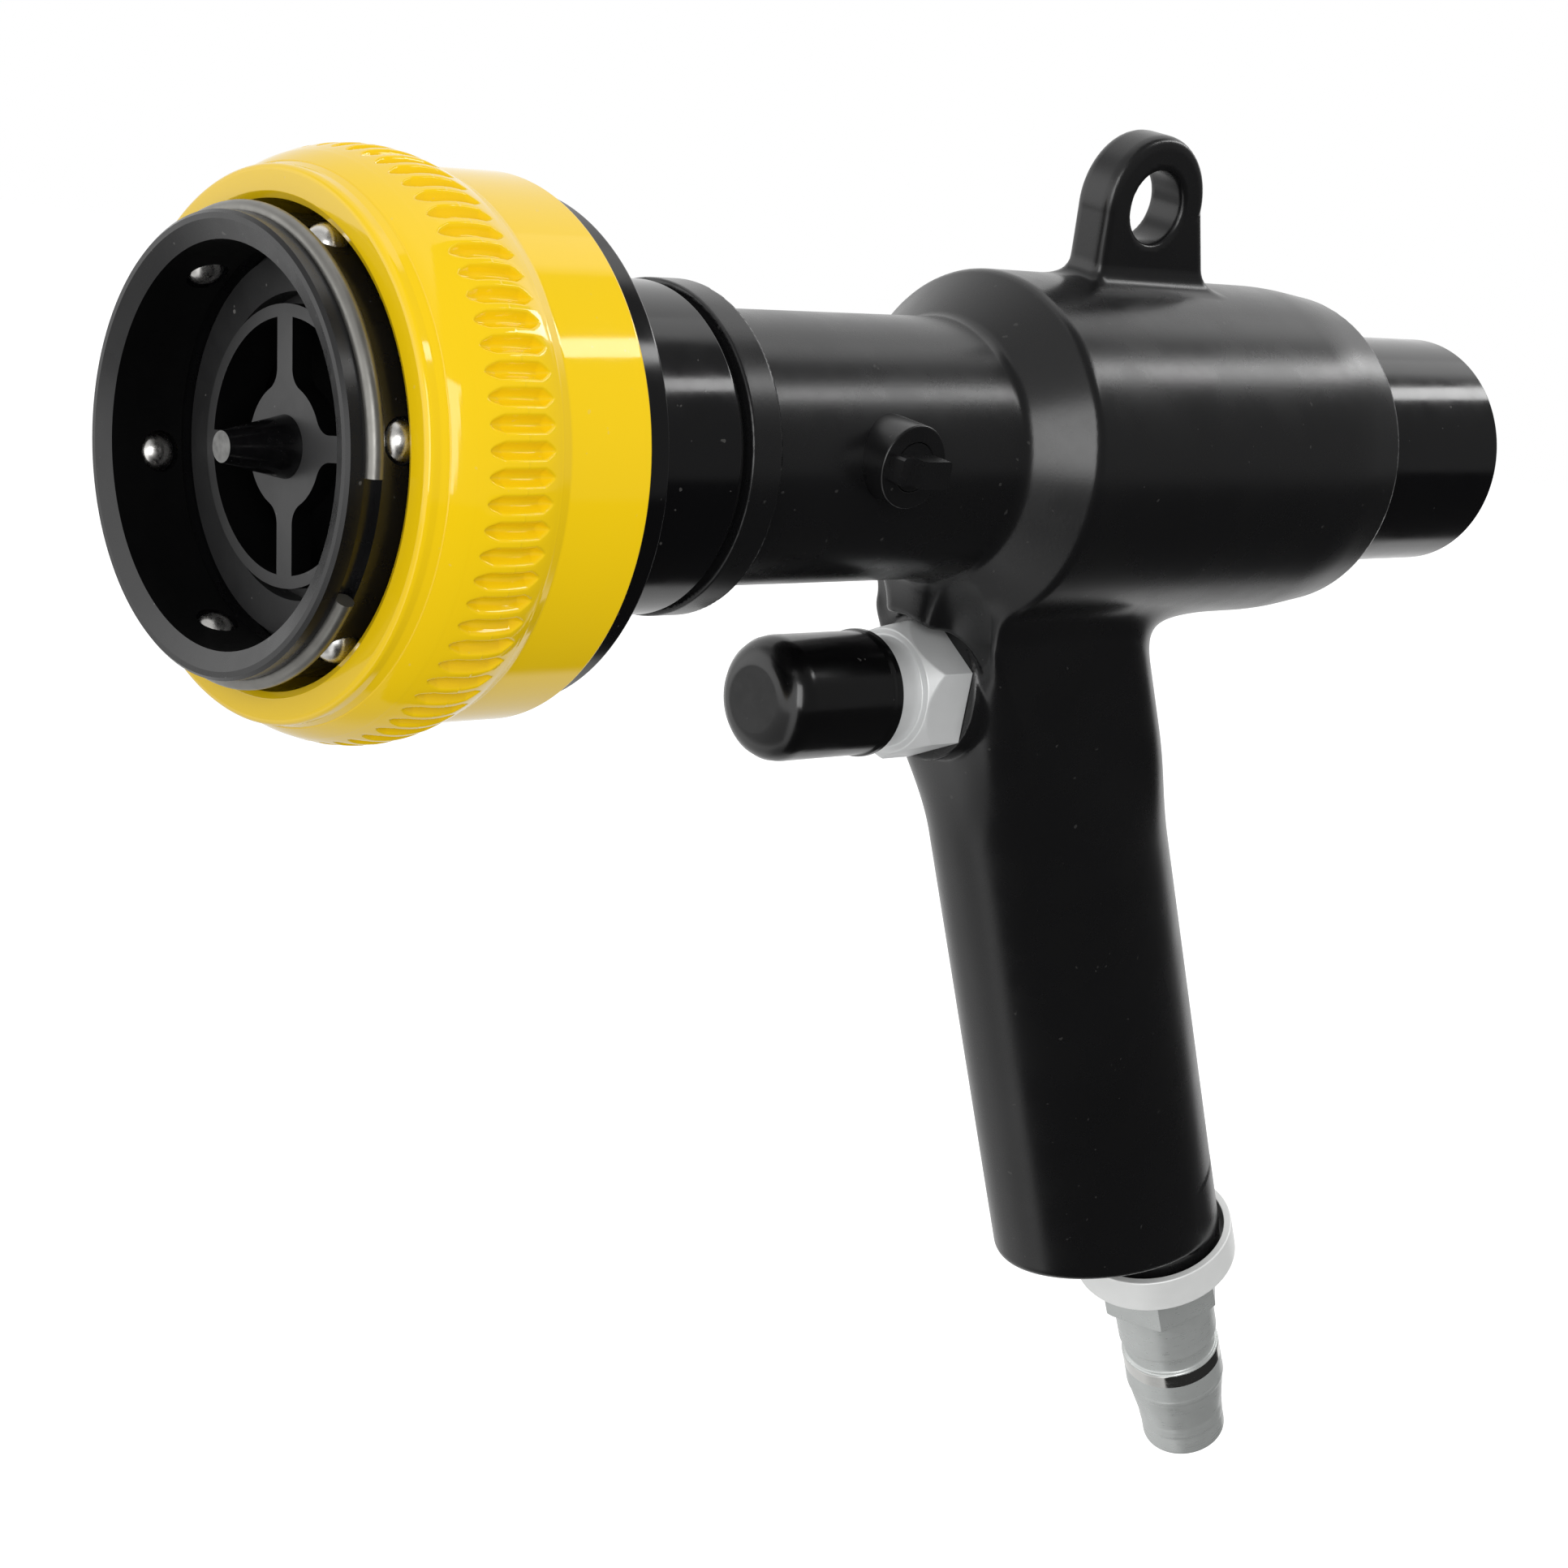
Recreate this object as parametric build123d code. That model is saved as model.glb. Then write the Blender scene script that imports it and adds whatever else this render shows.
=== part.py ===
from build123d import *
import math
import os

# Pistol-grip air inflator with a ball-locking quick coupling.
# Millimetres. The barrel axis is X. The coupling mouth is at x = 0 and faces -X, +Z is up, and the
# gun is symmetrical about y = 0. The valve axis is parallel to X, below the barrel. The inlet axis
# runs down the grip, leaning back from the vertical.

os.makedirs("parts", exist_ok=True)

# Coupling socket
SOCKET_R = 20.0
SOCKET_BORE_R = 17.5
SOCKET_BORE_END = 7.9
SOCKET_MOUTH_R = 19.2
SOCKET_MOUTH_DEPTH = 0.7
SOCKET_RELIEF_R = 18.3
SOCKET_EDGE = 0.3

# Locking balls, at rest in the released position
BALL_COUNT = 6
BALL_R = 2.0
BALL_X = 5.6
BALL_CIRCLE_R = 19.0
BALL_FIRST_ANGLE = 16.7
BALL_HOLE_R = 2.05
BALL_HOLE_MOUTH_R = 1.9
BALL_CONE_START_R = 17.9

# Retaining ring that stops the collar
RING_X = 2.6
RING_WIRE_R = 0.85
RING_R = 20.05
RING_START_ANGLE = 8.0
RING_SWEEP_ANGLE = 328.4
RING_GROOVE_HALF_WIDTH = 0.9
RING_GROOVE_R = 19.15

# Locking collar
COLLAR_LIP_X = 5.0
COLLAR_LIP_BORE_R = 21.75
COLLAR_CREST_R = 24.1
COLLAR_CREST_X = 6.1
COLLAR_WAIST = (7.1, 24.45)
COLLAR_DOME_TOP = (13.0, 26.3)
COLLAR_DOME_END = (18.3, 25.2)
COLLAR_FOOT_X = 19.35
COLLAR_SLEEVE_R = 24.75
COLLAR_END_X = 28.2
COLLAR_END_ROUND = 0.35
COLLAR_RAMP_X = 5.6
COLLAR_RAMP_R = 21.09
COLLAR_RAMP_SLOPE = 0.2
COLLAR_LAND_R = 20.08
COLLAR_WEB_END_X = 14.0
COLLAR_REAR_BORE_R = 23.53
GROOVE_COUNT = 74
GROOVE_START_X = 10.2
GROOVE_END_X = 16.6
GROOVE_R = 0.8
GROOVE_CENTRE_R = 26.55

# Collar spring
COLLAR_SPRING_R = 21.75
COLLAR_SPRING_WIRE_R = 0.6
COLLAR_SPRING_TURNS = 3.5

# Seal and pin spider inside the coupling
GASKET_X = 8.5
GASKET_INNER_R = 13.4
GASKET_OUTER_R = 16.8
SPIDER_FRONT_X = 7.3
SPIDER_PLATE_X = 10.5
SPIDER_END_X = 12.0
SPIDER_PLATE_R = 18.2
SPIDER_RIM_INNER_R = 11.2
SPIDER_RIM_OUTER_R = 12.3
SPIDER_HUB_R = 5.46
SPIDER_SPOKE_WIDTH = 2.3
SPIDER_SPOKE_DEPTH = 2.0
SPIDER_SPOKE_FLARE = 2.0
SPIDER_TURN = -13.5
PIN_BASE_R = 2.8
PIN_TIP_R = 1.38
PIN_TIP_X = 0.9

# Neck adapter
FLANGE_X = 24.0
FLANGE_END_X = 31.3
FLANGE_R = 23.45
FLANGE_EDGE = 0.3
SPIGOT_R = 18.25
SPIGOT_MOUTH_R = 16.0
SPIGOT_CONE_DEPTH = 8.0
NECK_R = 15.8
NECK_END_X = 46.4
NECK_TAIL_R = 13.95
NECK_TAIL_END_X = 50.8
AIR_BORE_R = 11.2
NECK_RING_R = 0.53
NECK_RING_CENTRE_R = 14.5

# Gun body along the barrel axis
BODY_FRONT_X = 47.5
BODY_FLANGE_R = 16.0
BODY_FLANGE_END_X = 51.3
BODY_FLANGE_BLEND = 1.6
BARREL_R = 13.38
SHOULDER_X = 86.4
SHOULDER_END_X = 92.0
BODY_R = 18.5
BODY_DRAFT_X = 135.2
BODY_DRAFT_R = 18.1
BODY_END_X = 142.3
BODY_END_R = 17.2
TAIL_SOCKET_R = 14.0
TAIL_SOCKET_END_X = 51.0
REAR_BORE_R = 13.05
BODY_EDGE = 0.5

# Grip: its front and rear lines lean back as they go down
GRIP_FRONT_X = 95.7
GRIP_FRONT_Z = -34.9
GRIP_FRONT_LEAN = 0.475
GRIP_REAR_X = 128.4
GRIP_REAR_Z = -32.5
GRIP_REAR_LEAN = 0.502
GRIP_HALF_WIDTH = 9.6
GRIP_WIDTH_Z = -39.5
GRIP_WIDTH_GAIN = 0.0064
GRIP_FRONT_BLEND = 5.0
GRIP_REAR_BLEND = 9.0
GRIP_CUT_S = 112.6
GRIP_CUT_TILT = 4.7
GRIP_BOTTOM_EDGE = 0.8
GRIP_ROOT_LENGTH = 5.0
GRIP_STRAIGHT_Z = -34.0
GRIP_LOFT_END_Z = -120.0
GRIP_SIDE_STEPS = 12
GRIP_ROOT_STEPS = 6

# Inlet axis, where s is the distance down it from the barrel axis
INLET_X = 99.4
INLET_LEAN = 27.8
FERRULE_S = 114.8
FERRULE_FLOOR_S = 117.4
FERRULE_END_S = 118.4
FERRULE_R = 10.1
FERRULE_BORE_R = 9.15
INLET_BOSS_R = 8.4
INLET_PASSAGE_R = 3.6
PLUG_SHANK_S = 104.0
PLUG_THREAD_R = 6.5
PLUG_THREAD_GAP = 0.05
PLUG_HEX_FLATS = 13.7
PLUG_HEX_END_S = 124.6
PLUG_HEX_TURN = 44.0
PLUG_COLLAR_R = 6.27
PLUG_GROOVE_S = 131.3
PLUG_GROOVE_R = 5.75
PLUG_BEAD_S = 134.2
PLUG_BEAD_TOP_S = 136.4
PLUG_TAPER_S = 139.5
PLUG_NOSE_S = 145.5
PLUG_NOSE_R = 5.35
PLUG_END_S = 150.0
PLUG_BORE_R = 3.75
PLUG_EDGE = 0.6
PLUG_FALL = 0.1
INLET_SEAL_S = 103.2

# Valve axis and trigger
VALVE_Z = -26.33
VALVE_BOSS_X = 92.2
VALVE_BOSS_R = 7.75
VALVE_BOSS_END_X = 106.0
VALVE_BOSS_EDGE = 0.9
NUT_POCKET_R = 8.4
VALVE_BORE_R = 5.95
VALVE_BORE_END_X = 119.0
CAP_FRONT_X = 68.0
CAP_RIM_X = 83.0
CAP_R = 6.49
CAP_RIM_R = 6.85
CAP_RIM_LENGTH = 1.2
CAP_ROUND = 3.0
CAP_WALL = 2.0
CAP_BORE_R = 5.88
BUSH_FRONT_X = 76.0
BUSH_NECK_R = 5.8
BUSH_FACE_X = 86.4
BUSH_FACE_R = 6.6
HEX_X = 88.2
HEX_END_X = 92.2
HEX_FLATS = 13.4
HEX_HALF_TURN = 30.0
BUSH_END_X = 97.0
BUSH_BORE_R = 2.06
SHANK_R = 5.9
ROD_R = 2.0
ROD_HEAD_R = 4.5
ROD_HEAD_LENGTH = 2.0
ROD_RING_X = 94.6
ROD_RING_R = 0.8
ROD_RING_GROOVE = 1.8
SEAT_LAND_X = 101.5
SEAT_END_X = 103.5
SEAT_SPACER_R = 4.9
SEAT_BORE_R = 3.0
SEAT_RING_THICKNESS = 0.7
POPPET_R = 4.6
POPPET_GAP = 0.05
POPPET_LENGTH = 3.75
POPPET_TAIL_LENGTH = 3.0
VALVE_SPRING_R = 3.6
VALVE_SPRING_WIRE_R = 0.4
VALVE_SPRING_TURNS = 5.5
OUTLET_X = 99.3
OUTLET_R = 2.2

# Air amplifier: jet ring and intake sleeve behind it
JET_RING_X = 92.0
JET_RING_END_X = 108.0
JET_RING_R = 13.0
PLENUM_X = 95.5
PLENUM_END_X = 103.5
PLENUM_R = 11.8
THROAT_X = 97.0
THROAT_END_X = 104.0
THROAT_R = 9.6
JET_COUNT = 12
JET_R = 0.45
JET_SHIFT = 1.0
SLEEVE_X = 108.0
SLEEVE_END_X = 166.4
SLEEVE_R = 13.0
SLEEVE_END_R = 12.9
SLEEVE_ROUND = 0.5
SLEEVE_MOUTH_R = 12.2
SLEEVE_MOUTH_DEPTH = 3.0
SLEEVE_RING_X = 136.0
SLEEVE_RING_R = 0.6
SLEEVE_RING_CENTRE_R = 12.44

# Side port and its plug
PORT_X = 68.0
PORT_Z = 2.45
PORT_BOSS_R = 4.15
PORT_FACE_Y = -16.0
PORT_BORE_R = 2.45
PORT_STEM_R = 2.4
PORT_STEM_END_Y = -11.9
PORT_BAR_LENGTH = 5.3
PORT_BAR_WIDTH = 2.7
PORT_BAR_HEIGHT = 3.0
PORT_BAR_STEP = 1.2
PORT_BAR_LOW_LENGTH = 1.6
PORT_BAR_SHIFT = -0.65
PORT_BAR_EDGE = 0.25

# Hanging lug
LUG_THICKNESS = 5.0
LUG_R = 7.5
LUG_TOP_X = 110.2
LUG_TOP_Z = 26.6
LUG_HOLE_R = 3.85
LUG_BASE_X = 112.2
LUG_BASE_Z = 17.0
LUG_BASE_HALF = 8.8
LUG_EDGE = 0.8
LUG_FOOT = 2.0

# How far a cutting tool reaches past the surface that it cuts
CUT_MARGIN = 1.0


def turned(*outline):
    """Turn an outline of (x, radius) corners about the X axis."""
    return revolve(Plane.XZ * make_face(Polyline(*outline, close=True)), Axis.X)


def ring(x_start, x_end, outer, inner=0.0):
    """Plain ring or disc about the X axis."""
    return turned((x_start, inner), (x_end, inner), (x_end, outer), (x_start, outer))


def o_ring(x, centre_r, wire_r):
    """Round-section ring about the X axis."""
    return Pos(x, 0, 0) * Rot(0, 90, 0) * Torus(centre_r, wire_r)


def radial_peg(x, angle, r_start, r_end, inner_r, outer_r):
    """Tapered peg standing on the X axis; the angle runs from -Y towards +Z."""
    turn = math.radians(angle)
    outward = Vector(0, -math.cos(turn), math.sin(turn))
    start = Plane(origin=Vector(x, 0, 0) + outward * r_start, z_dir=outward)
    profiles = [start * Circle(inner_r), start.offset(r_end - r_start) * Circle(outer_r)]
    return loft(profiles)


def hexagon(x_start, x_end, flats):
    """Hexagonal bar along X with a corner at the top."""
    corner_r = flats / math.sqrt(3)
    face = Plane.YZ.offset(x_start) * RegularPolygon(corner_r, 6, rotation=HEX_HALF_TURN)
    return extrude(face, x_end - x_start)


def coil(x_start, x_end, centre_r, wire_r, turns):
    """Compression spring along X between two faces."""
    length = x_end - x_start - 2 * wire_r
    path = Helix(length / turns, length, centre_r, direction=(1, 0, 0), center=(x_start + wire_r, 0, 0))
    section = Plane(origin=path @ 0, z_dir=path % 0) * Circle(wire_r)
    return sweep(section, path, is_frenet=True)


lean = math.radians(INLET_LEAN)
inlet_down = Vector(math.sin(lean), 0, -math.cos(lean))
inlet_plane = Plane(origin=(INLET_X, 0, 0), x_dir=inlet_down, z_dir=(0, 1, 0))
valve_place = Pos(0, 0, VALVE_Z)
poppet_start = SEAT_END_X + SEAT_RING_THICKNESS + POPPET_GAP
poppet_end = poppet_start + POPPET_LENGTH
neck_ring_x = (NECK_END_X + BODY_FRONT_X) / 2
ball_angles = [BALL_FIRST_ANGLE + 360 / BALL_COUNT * number for number in range(BALL_COUNT)]


# --- Coupling ---------------------------------------------------------------------------------


def make_coupling_socket():
    """Ball cage that the valve of the bag or tank pushes into."""
    socket = turned(
        (0, SOCKET_MOUTH_R),
        (SOCKET_MOUTH_DEPTH, SOCKET_BORE_R),
        (SOCKET_BORE_END, SOCKET_BORE_R),
        (SOCKET_BORE_END, SOCKET_RELIEF_R),
        (FLANGE_X, SOCKET_RELIEF_R),
        (FLANGE_X, SOCKET_R),
        (SOCKET_EDGE, SOCKET_R),
        (0, SOCKET_R - SOCKET_EDGE),
    )
    groove_start = RING_X - RING_GROOVE_HALF_WIDTH
    groove_end = RING_X + RING_GROOVE_HALF_WIDTH
    socket -= ring(groove_start, groove_end, SOCKET_R + CUT_MARGIN, RING_GROOVE_R)
    for angle in ball_angles:
        outer_r = SOCKET_R + CUT_MARGIN
        socket -= radial_peg(BALL_X, angle, BALL_CONE_START_R, outer_r, BALL_HOLE_R, BALL_HOLE_R)
        cone_step = BALL_CONE_START_R - SOCKET_BORE_R
        gain = (BALL_HOLE_R - BALL_HOLE_MOUTH_R) / cone_step
        inner_r = BALL_HOLE_MOUTH_R - gain * cone_step
        socket -= radial_peg(
            BALL_X, angle, SOCKET_BORE_R - cone_step, BALL_CONE_START_R, inner_r, BALL_HOLE_R
        )
    return socket


def make_retaining_ring():
    """Split wire ring, open towards the lower front of one side."""
    sweep_end = RING_START_ANGLE + RING_SWEEP_ANGLE
    middle = (RING_START_ANGLE + sweep_end) / 2

    def on_ring(angle):
        turn = math.radians(angle)
        return (RING_X, -RING_R * math.cos(turn), RING_R * math.sin(turn))

    path = ThreePointArc(on_ring(RING_START_ANGLE), on_ring(middle), on_ring(sweep_end))
    section = Plane(origin=path @ 0, z_dir=path % 0) * Circle(RING_WIRE_R)
    return sweep(section, path)


def make_lock_ball(angle):
    turn = math.radians(angle)
    place = Pos(BALL_X, -BALL_CIRCLE_R * math.cos(turn), BALL_CIRCLE_R * math.sin(turn))
    return place * Sphere(BALL_R)


def make_gasket():
    return ring(GASKET_X, SPIDER_PLATE_X, GASKET_OUTER_R, GASKET_INNER_R)


def make_pin_spider():
    """Rim, hub, four spokes and the pin that opens the valve, moulded in one."""
    rim = ring(SPIDER_FRONT_X, SPIDER_END_X, SPIDER_RIM_OUTER_R, SPIDER_RIM_INNER_R)
    plate = ring(SPIDER_PLATE_X, SPIDER_END_X, SPIDER_PLATE_R, SPIDER_RIM_INNER_R)
    face = Plane.YZ.offset(SPIDER_FRONT_X)
    cross = Rectangle(2 * SPIDER_RIM_OUTER_R, SPIDER_SPOKE_WIDTH)
    cross += Rectangle(SPIDER_SPOKE_WIDTH, 2 * SPIDER_RIM_OUTER_R)
    cross &= Circle((SPIDER_RIM_INNER_R + SPIDER_RIM_OUTER_R) / 2)
    cross += Circle(SPIDER_HUB_R)
    inside = cross.vertices().filter_by(lambda corner: Vector(corner).length < SPIDER_RIM_INNER_R)
    spokes = extrude(face * fillet(inside, SPIDER_SPOKE_FLARE), SPIDER_SPOKE_DEPTH)
    pin = turned((PIN_TIP_X, 0), (PIN_TIP_X, PIN_TIP_R), (SPIDER_FRONT_X, PIN_BASE_R), (SPIDER_FRONT_X, 0))
    return Rot(SPIDER_TURN, 0, 0) * (rim + plate + spokes + pin)


def make_collar():
    """Ball-locking collar with a grooved hand band; it slides towards the mouth to lock."""
    ramp_start_r = COLLAR_RAMP_R + COLLAR_RAMP_SLOPE * (COLLAR_RAMP_X - COLLAR_LIP_X)
    ramp_length = (COLLAR_RAMP_R - COLLAR_LAND_R) / COLLAR_RAMP_SLOPE
    crest_half = COLLAR_CREST_X - COLLAR_LIP_X
    crest = (COLLAR_CREST_X, COLLAR_CREST_R)
    lip_corner = (COLLAR_LIP_X, COLLAR_CREST_R - crest_half)
    lip_mid = (
        COLLAR_CREST_X - crest_half * math.sqrt(0.5),
        COLLAR_CREST_R - crest_half * (1 - math.sqrt(0.5)),
    )
    lip = ThreePointArc(lip_corner, lip_mid, crest)
    neck = Line(crest, COLLAR_WAIST)
    dome = ThreePointArc(COLLAR_WAIST, COLLAR_DOME_TOP, COLLAR_DOME_END)
    rest = Polyline(
        COLLAR_DOME_END,
        (COLLAR_FOOT_X, COLLAR_SLEEVE_R),
        (COLLAR_END_X - COLLAR_END_ROUND, COLLAR_SLEEVE_R),
        (COLLAR_END_X, COLLAR_SLEEVE_R - COLLAR_END_ROUND),
        (COLLAR_END_X, COLLAR_REAR_BORE_R),
        (COLLAR_WEB_END_X, COLLAR_REAR_BORE_R),
        (COLLAR_WEB_END_X, COLLAR_LAND_R),
        (COLLAR_RAMP_X + ramp_length, COLLAR_LAND_R),
        (COLLAR_LIP_X + SOCKET_EDGE, ramp_start_r - COLLAR_RAMP_SLOPE * SOCKET_EDGE),
        (COLLAR_LIP_X, COLLAR_LIP_BORE_R),
        lip_corner,
    )
    collar = revolve(Plane.XZ * make_face(lip + neck + dome + rest), Axis.X)
    cutter = Pos(0, 0, GROOVE_CENTRE_R) * turned(
        (GROOVE_START_X, 0),
        (GROOVE_START_X + GROOVE_R, GROOVE_R),
        (GROOVE_END_X - GROOVE_R, GROOVE_R),
        (GROOVE_END_X, 0),
    )
    pitch = 360 / GROOVE_COUNT
    return collar - [Rot(pitch * (number + 0.5), 0, 0) * cutter for number in range(GROOVE_COUNT)]


def make_neck_adapter():
    """Tube that joins the coupling to the gun, with the flange the collar runs on."""
    return turned(
        (SPIDER_END_X, SPIGOT_MOUTH_R),
        (SPIDER_END_X, SPIGOT_R),
        (FLANGE_X, SPIGOT_R),
        (FLANGE_X, FLANGE_R),
        (FLANGE_END_X - FLANGE_EDGE, FLANGE_R),
        (FLANGE_END_X, FLANGE_R - FLANGE_EDGE),
        (FLANGE_END_X, NECK_R),
        (NECK_END_X - FLANGE_EDGE, NECK_R),
        (NECK_END_X, NECK_R - FLANGE_EDGE),
        (NECK_END_X, NECK_TAIL_R),
        (NECK_TAIL_END_X, NECK_TAIL_R),
        (NECK_TAIL_END_X, AIR_BORE_R),
        (SPIDER_END_X + SPIGOT_CONE_DEPTH, AIR_BORE_R),
    )


# --- Gun body ---------------------------------------------------------------------------------


def edge_x(z, line_x, line_z, line_lean, ceiling_z, radius, side):
    """Front (side -1) or rear (side 1) edge of the grip, blended into the barrel above it."""
    stretch = math.hypot(1, line_lean)
    centre_z = ceiling_z - radius
    centre_x = line_x + line_lean * (line_z - centre_z) + side * radius * stretch
    if z <= centre_z - side * radius * line_lean / stretch:
        return line_x + line_lean * (line_z - z)
    rise = min(z, ceiling_z) - centre_z
    return centre_x - side * math.sqrt(max(radius**2 - rise**2, 0))


def grip_section(z):
    """Level ellipse through the grip."""
    front = edge_x(z, GRIP_FRONT_X, GRIP_FRONT_Z, GRIP_FRONT_LEAN, -BARREL_R, GRIP_FRONT_BLEND, -1)
    rear = edge_x(z, GRIP_REAR_X, GRIP_REAR_Z, GRIP_REAR_LEAN, -BODY_R, GRIP_REAR_BLEND, 1)
    half_width = GRIP_HALF_WIDTH + GRIP_WIDTH_GAIN * (GRIP_WIDTH_Z - z)
    return Pos((front + rear) / 2, 0, z) * Ellipse((rear - front) / 2, half_width)


def make_grip():
    """Grip column, from inside the barrel down to its nearly level foot."""
    column = loft([grip_section(GRIP_LOFT_END_Z), grip_section(GRIP_STRAIGHT_Z)], ruled=True)
    rise = -BODY_R - GRIP_STRAIGHT_Z
    shares = [math.sin(math.pi / 2 * step / GRIP_SIDE_STEPS) for step in range(GRIP_SIDE_STEPS + 1)]
    column += loft([grip_section(GRIP_STRAIGHT_Z + rise * share) for share in shares])
    rise = BODY_R - BARREL_R
    shares = [step / GRIP_ROOT_STEPS for step in range(GRIP_ROOT_STEPS + 1)]
    column += loft([grip_section(-BODY_R + rise * share) for share in shares])
    column += extrude(grip_section(-BARREL_R), GRIP_ROOT_LENGTH)
    cut_point = inlet_plane.origin + inlet_down * GRIP_CUT_S
    tilt = math.radians(GRIP_CUT_TILT)
    cut = Plane(origin=cut_point, z_dir=(math.sin(tilt), 0, -math.cos(tilt)))
    column = split(column, cut, keep=Keep.BOTTOM)
    rim = column.faces().sort_by(Axis.Z)[0].edges()
    return fillet(rim, GRIP_BOTTOM_EDGE)


def make_lug():
    """Hanging eye on top of the body."""
    top = Pos(LUG_TOP_X, LUG_TOP_Z) * Circle(LUG_R)
    left = (LUG_TOP_X - LUG_R, LUG_TOP_Z)
    right = (LUG_TOP_X + LUG_R, LUG_TOP_Z)
    foot_left = (LUG_BASE_X - LUG_BASE_HALF, LUG_BASE_Z)
    foot_right = (LUG_BASE_X + LUG_BASE_HALF, LUG_BASE_Z)
    stem = make_face(Polyline(left, right, foot_right, foot_left, close=True))
    lug = extrude(Plane.XZ * (top + stem), LUG_THICKNESS / 2, both=True)
    outline = lug.edges().filter_by(lambda edge: abs(abs(edge.center().Y) - LUG_THICKNESS / 2) < 0.01)
    upper = outline.filter_by(lambda edge: edge.center().Z > LUG_BASE_Z + CUT_MARGIN)
    return fillet(upper, LUG_EDGE)


def make_gun_body():
    """Moulded barrel, shoulder, body, grip and lug in one piece, with the valve and air passages."""
    body = turned(
        (BODY_FRONT_X, 0),
        (BODY_FRONT_X, BODY_FLANGE_R - BODY_EDGE),
        (BODY_FRONT_X + BODY_EDGE, BODY_FLANGE_R),
        (BODY_FLANGE_END_X, BODY_FLANGE_R),
        (BODY_FLANGE_END_X + BODY_FLANGE_BLEND, BARREL_R),
        (SHOULDER_X, BARREL_R),
        (SHOULDER_END_X, BODY_R),
        (BODY_DRAFT_X, BODY_DRAFT_R),
        (BODY_END_X, BODY_END_R),
        (BODY_END_X, 0),
    )
    port_boss = Pos(PORT_X, PORT_FACE_Y / 2, PORT_Z) * Rot(90, 0, 0) * Cylinder(PORT_BOSS_R, -PORT_FACE_Y)
    grip = make_grip() - valve_place * ring(BUSH_FACE_X - BUSH_FACE_R, VALVE_BOSS_X, NUT_POCKET_R)
    valve_boss = valve_place * turned(
        (VALVE_BOSS_X, 0),
        (VALVE_BOSS_X, VALVE_BOSS_R - VALVE_BOSS_EDGE),
        (VALVE_BOSS_X + VALVE_BOSS_EDGE, VALVE_BOSS_R),
        (VALVE_BOSS_END_X, VALVE_BOSS_R),
        (VALVE_BOSS_END_X, 0),
    )
    inlet_boss = inlet_plane * ring(PLUG_SHANK_S, FERRULE_FLOOR_S, INLET_BOSS_R)
    body += [port_boss, grip, valve_boss, inlet_boss, make_lug()]

    def at_lug_foot(edge):
        spot = edge.center()
        beside = abs(spot.X - LUG_BASE_X) < LUG_BASE_HALF + CUT_MARGIN and abs(spot.Y) < LUG_THICKNESS
        return beside and LUG_BASE_Z < spot.Z < BODY_R

    body = fillet(body.edges().filter_by(at_lug_foot), LUG_FOOT)

    body -= ring(BODY_FRONT_X, TAIL_SOCKET_END_X, TAIL_SOCKET_R)
    body -= ring(TAIL_SOCKET_END_X, JET_RING_X, AIR_BORE_R)
    body -= ring(JET_RING_X, BODY_END_X, REAR_BORE_R)
    body -= Pos(PORT_X, PORT_FACE_Y / 2, PORT_Z) * Rot(90, 0, 0) * Cylinder(PORT_BORE_R, -PORT_FACE_Y)
    body -= valve_place * ring(VALVE_BOSS_X, VALVE_BORE_END_X, VALVE_BORE_R)
    body -= Pos(OUTLET_X, 0, VALVE_Z / 2) * Cylinder(OUTLET_R, -VALVE_Z)
    passage_start_s = -VALVE_Z / math.cos(lean)
    body -= inlet_plane * ring(passage_start_s, INLET_SEAL_S, INLET_PASSAGE_R)
    body -= inlet_plane * ring(INLET_SEAL_S, FERRULE_FLOOR_S, PLUG_THREAD_R + PLUG_THREAD_GAP)
    body -= Pos(LUG_TOP_X, 0, LUG_TOP_Z) * Rot(90, 0, 0) * Cylinder(LUG_HOLE_R, 2 * LUG_THICKNESS)
    return body


# --- Valve and trigger ------------------------------------------------------------------------


def make_button_cap():
    """Soft cap over the trigger pin; it slides on the neck of the bush."""
    cap = turned(
        (CAP_FRONT_X, 0),
        (CAP_FRONT_X, CAP_R),
        (CAP_RIM_X - CAP_RIM_LENGTH, CAP_R),
        (CAP_RIM_X, CAP_RIM_R),
        (CAP_RIM_X, CAP_BORE_R),
        (CAP_FRONT_X + CAP_WALL, CAP_BORE_R),
        (CAP_FRONT_X + CAP_WALL, 0),
    )
    front_edge = cap.edges().sort_by(Axis.X)[0]
    return valve_place * fillet(front_edge, CAP_ROUND)


def make_push_rod():
    """Pin with a flat head under the cap; its far end carries the poppet."""
    start = CAP_FRONT_X + CAP_WALL
    head = ring(start, start + ROD_HEAD_LENGTH, ROD_HEAD_R)
    rod = ring(start + ROD_HEAD_LENGTH, poppet_start, ROD_R)
    return valve_place * (head + rod)


def make_valve_bush():
    """Hexagonal bush that closes the valve bore and guides the rod."""
    blank = turned(
        (BUSH_FACE_X, 0),
        (BUSH_FACE_X, BUSH_FACE_R),
        (HEX_X, HEX_FLATS / math.sqrt(3)),
        (HEX_END_X, HEX_FLATS / math.sqrt(3)),
        (HEX_END_X, 0),
    )
    bush = blank & hexagon(BUSH_FACE_X, HEX_END_X, HEX_FLATS)
    bush += ring(BUSH_FRONT_X, BUSH_FACE_X, BUSH_NECK_R)
    bush += ring(HEX_END_X, BUSH_END_X, SHANK_R)
    bush -= ring(BUSH_FRONT_X, BUSH_END_X, BUSH_BORE_R)
    groove_r = BUSH_BORE_R + ROD_RING_GROOVE
    bush -= ring(ROD_RING_X - ROD_RING_R, ROD_RING_X + ROD_RING_R, groove_r)
    return valve_place * bush


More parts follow.
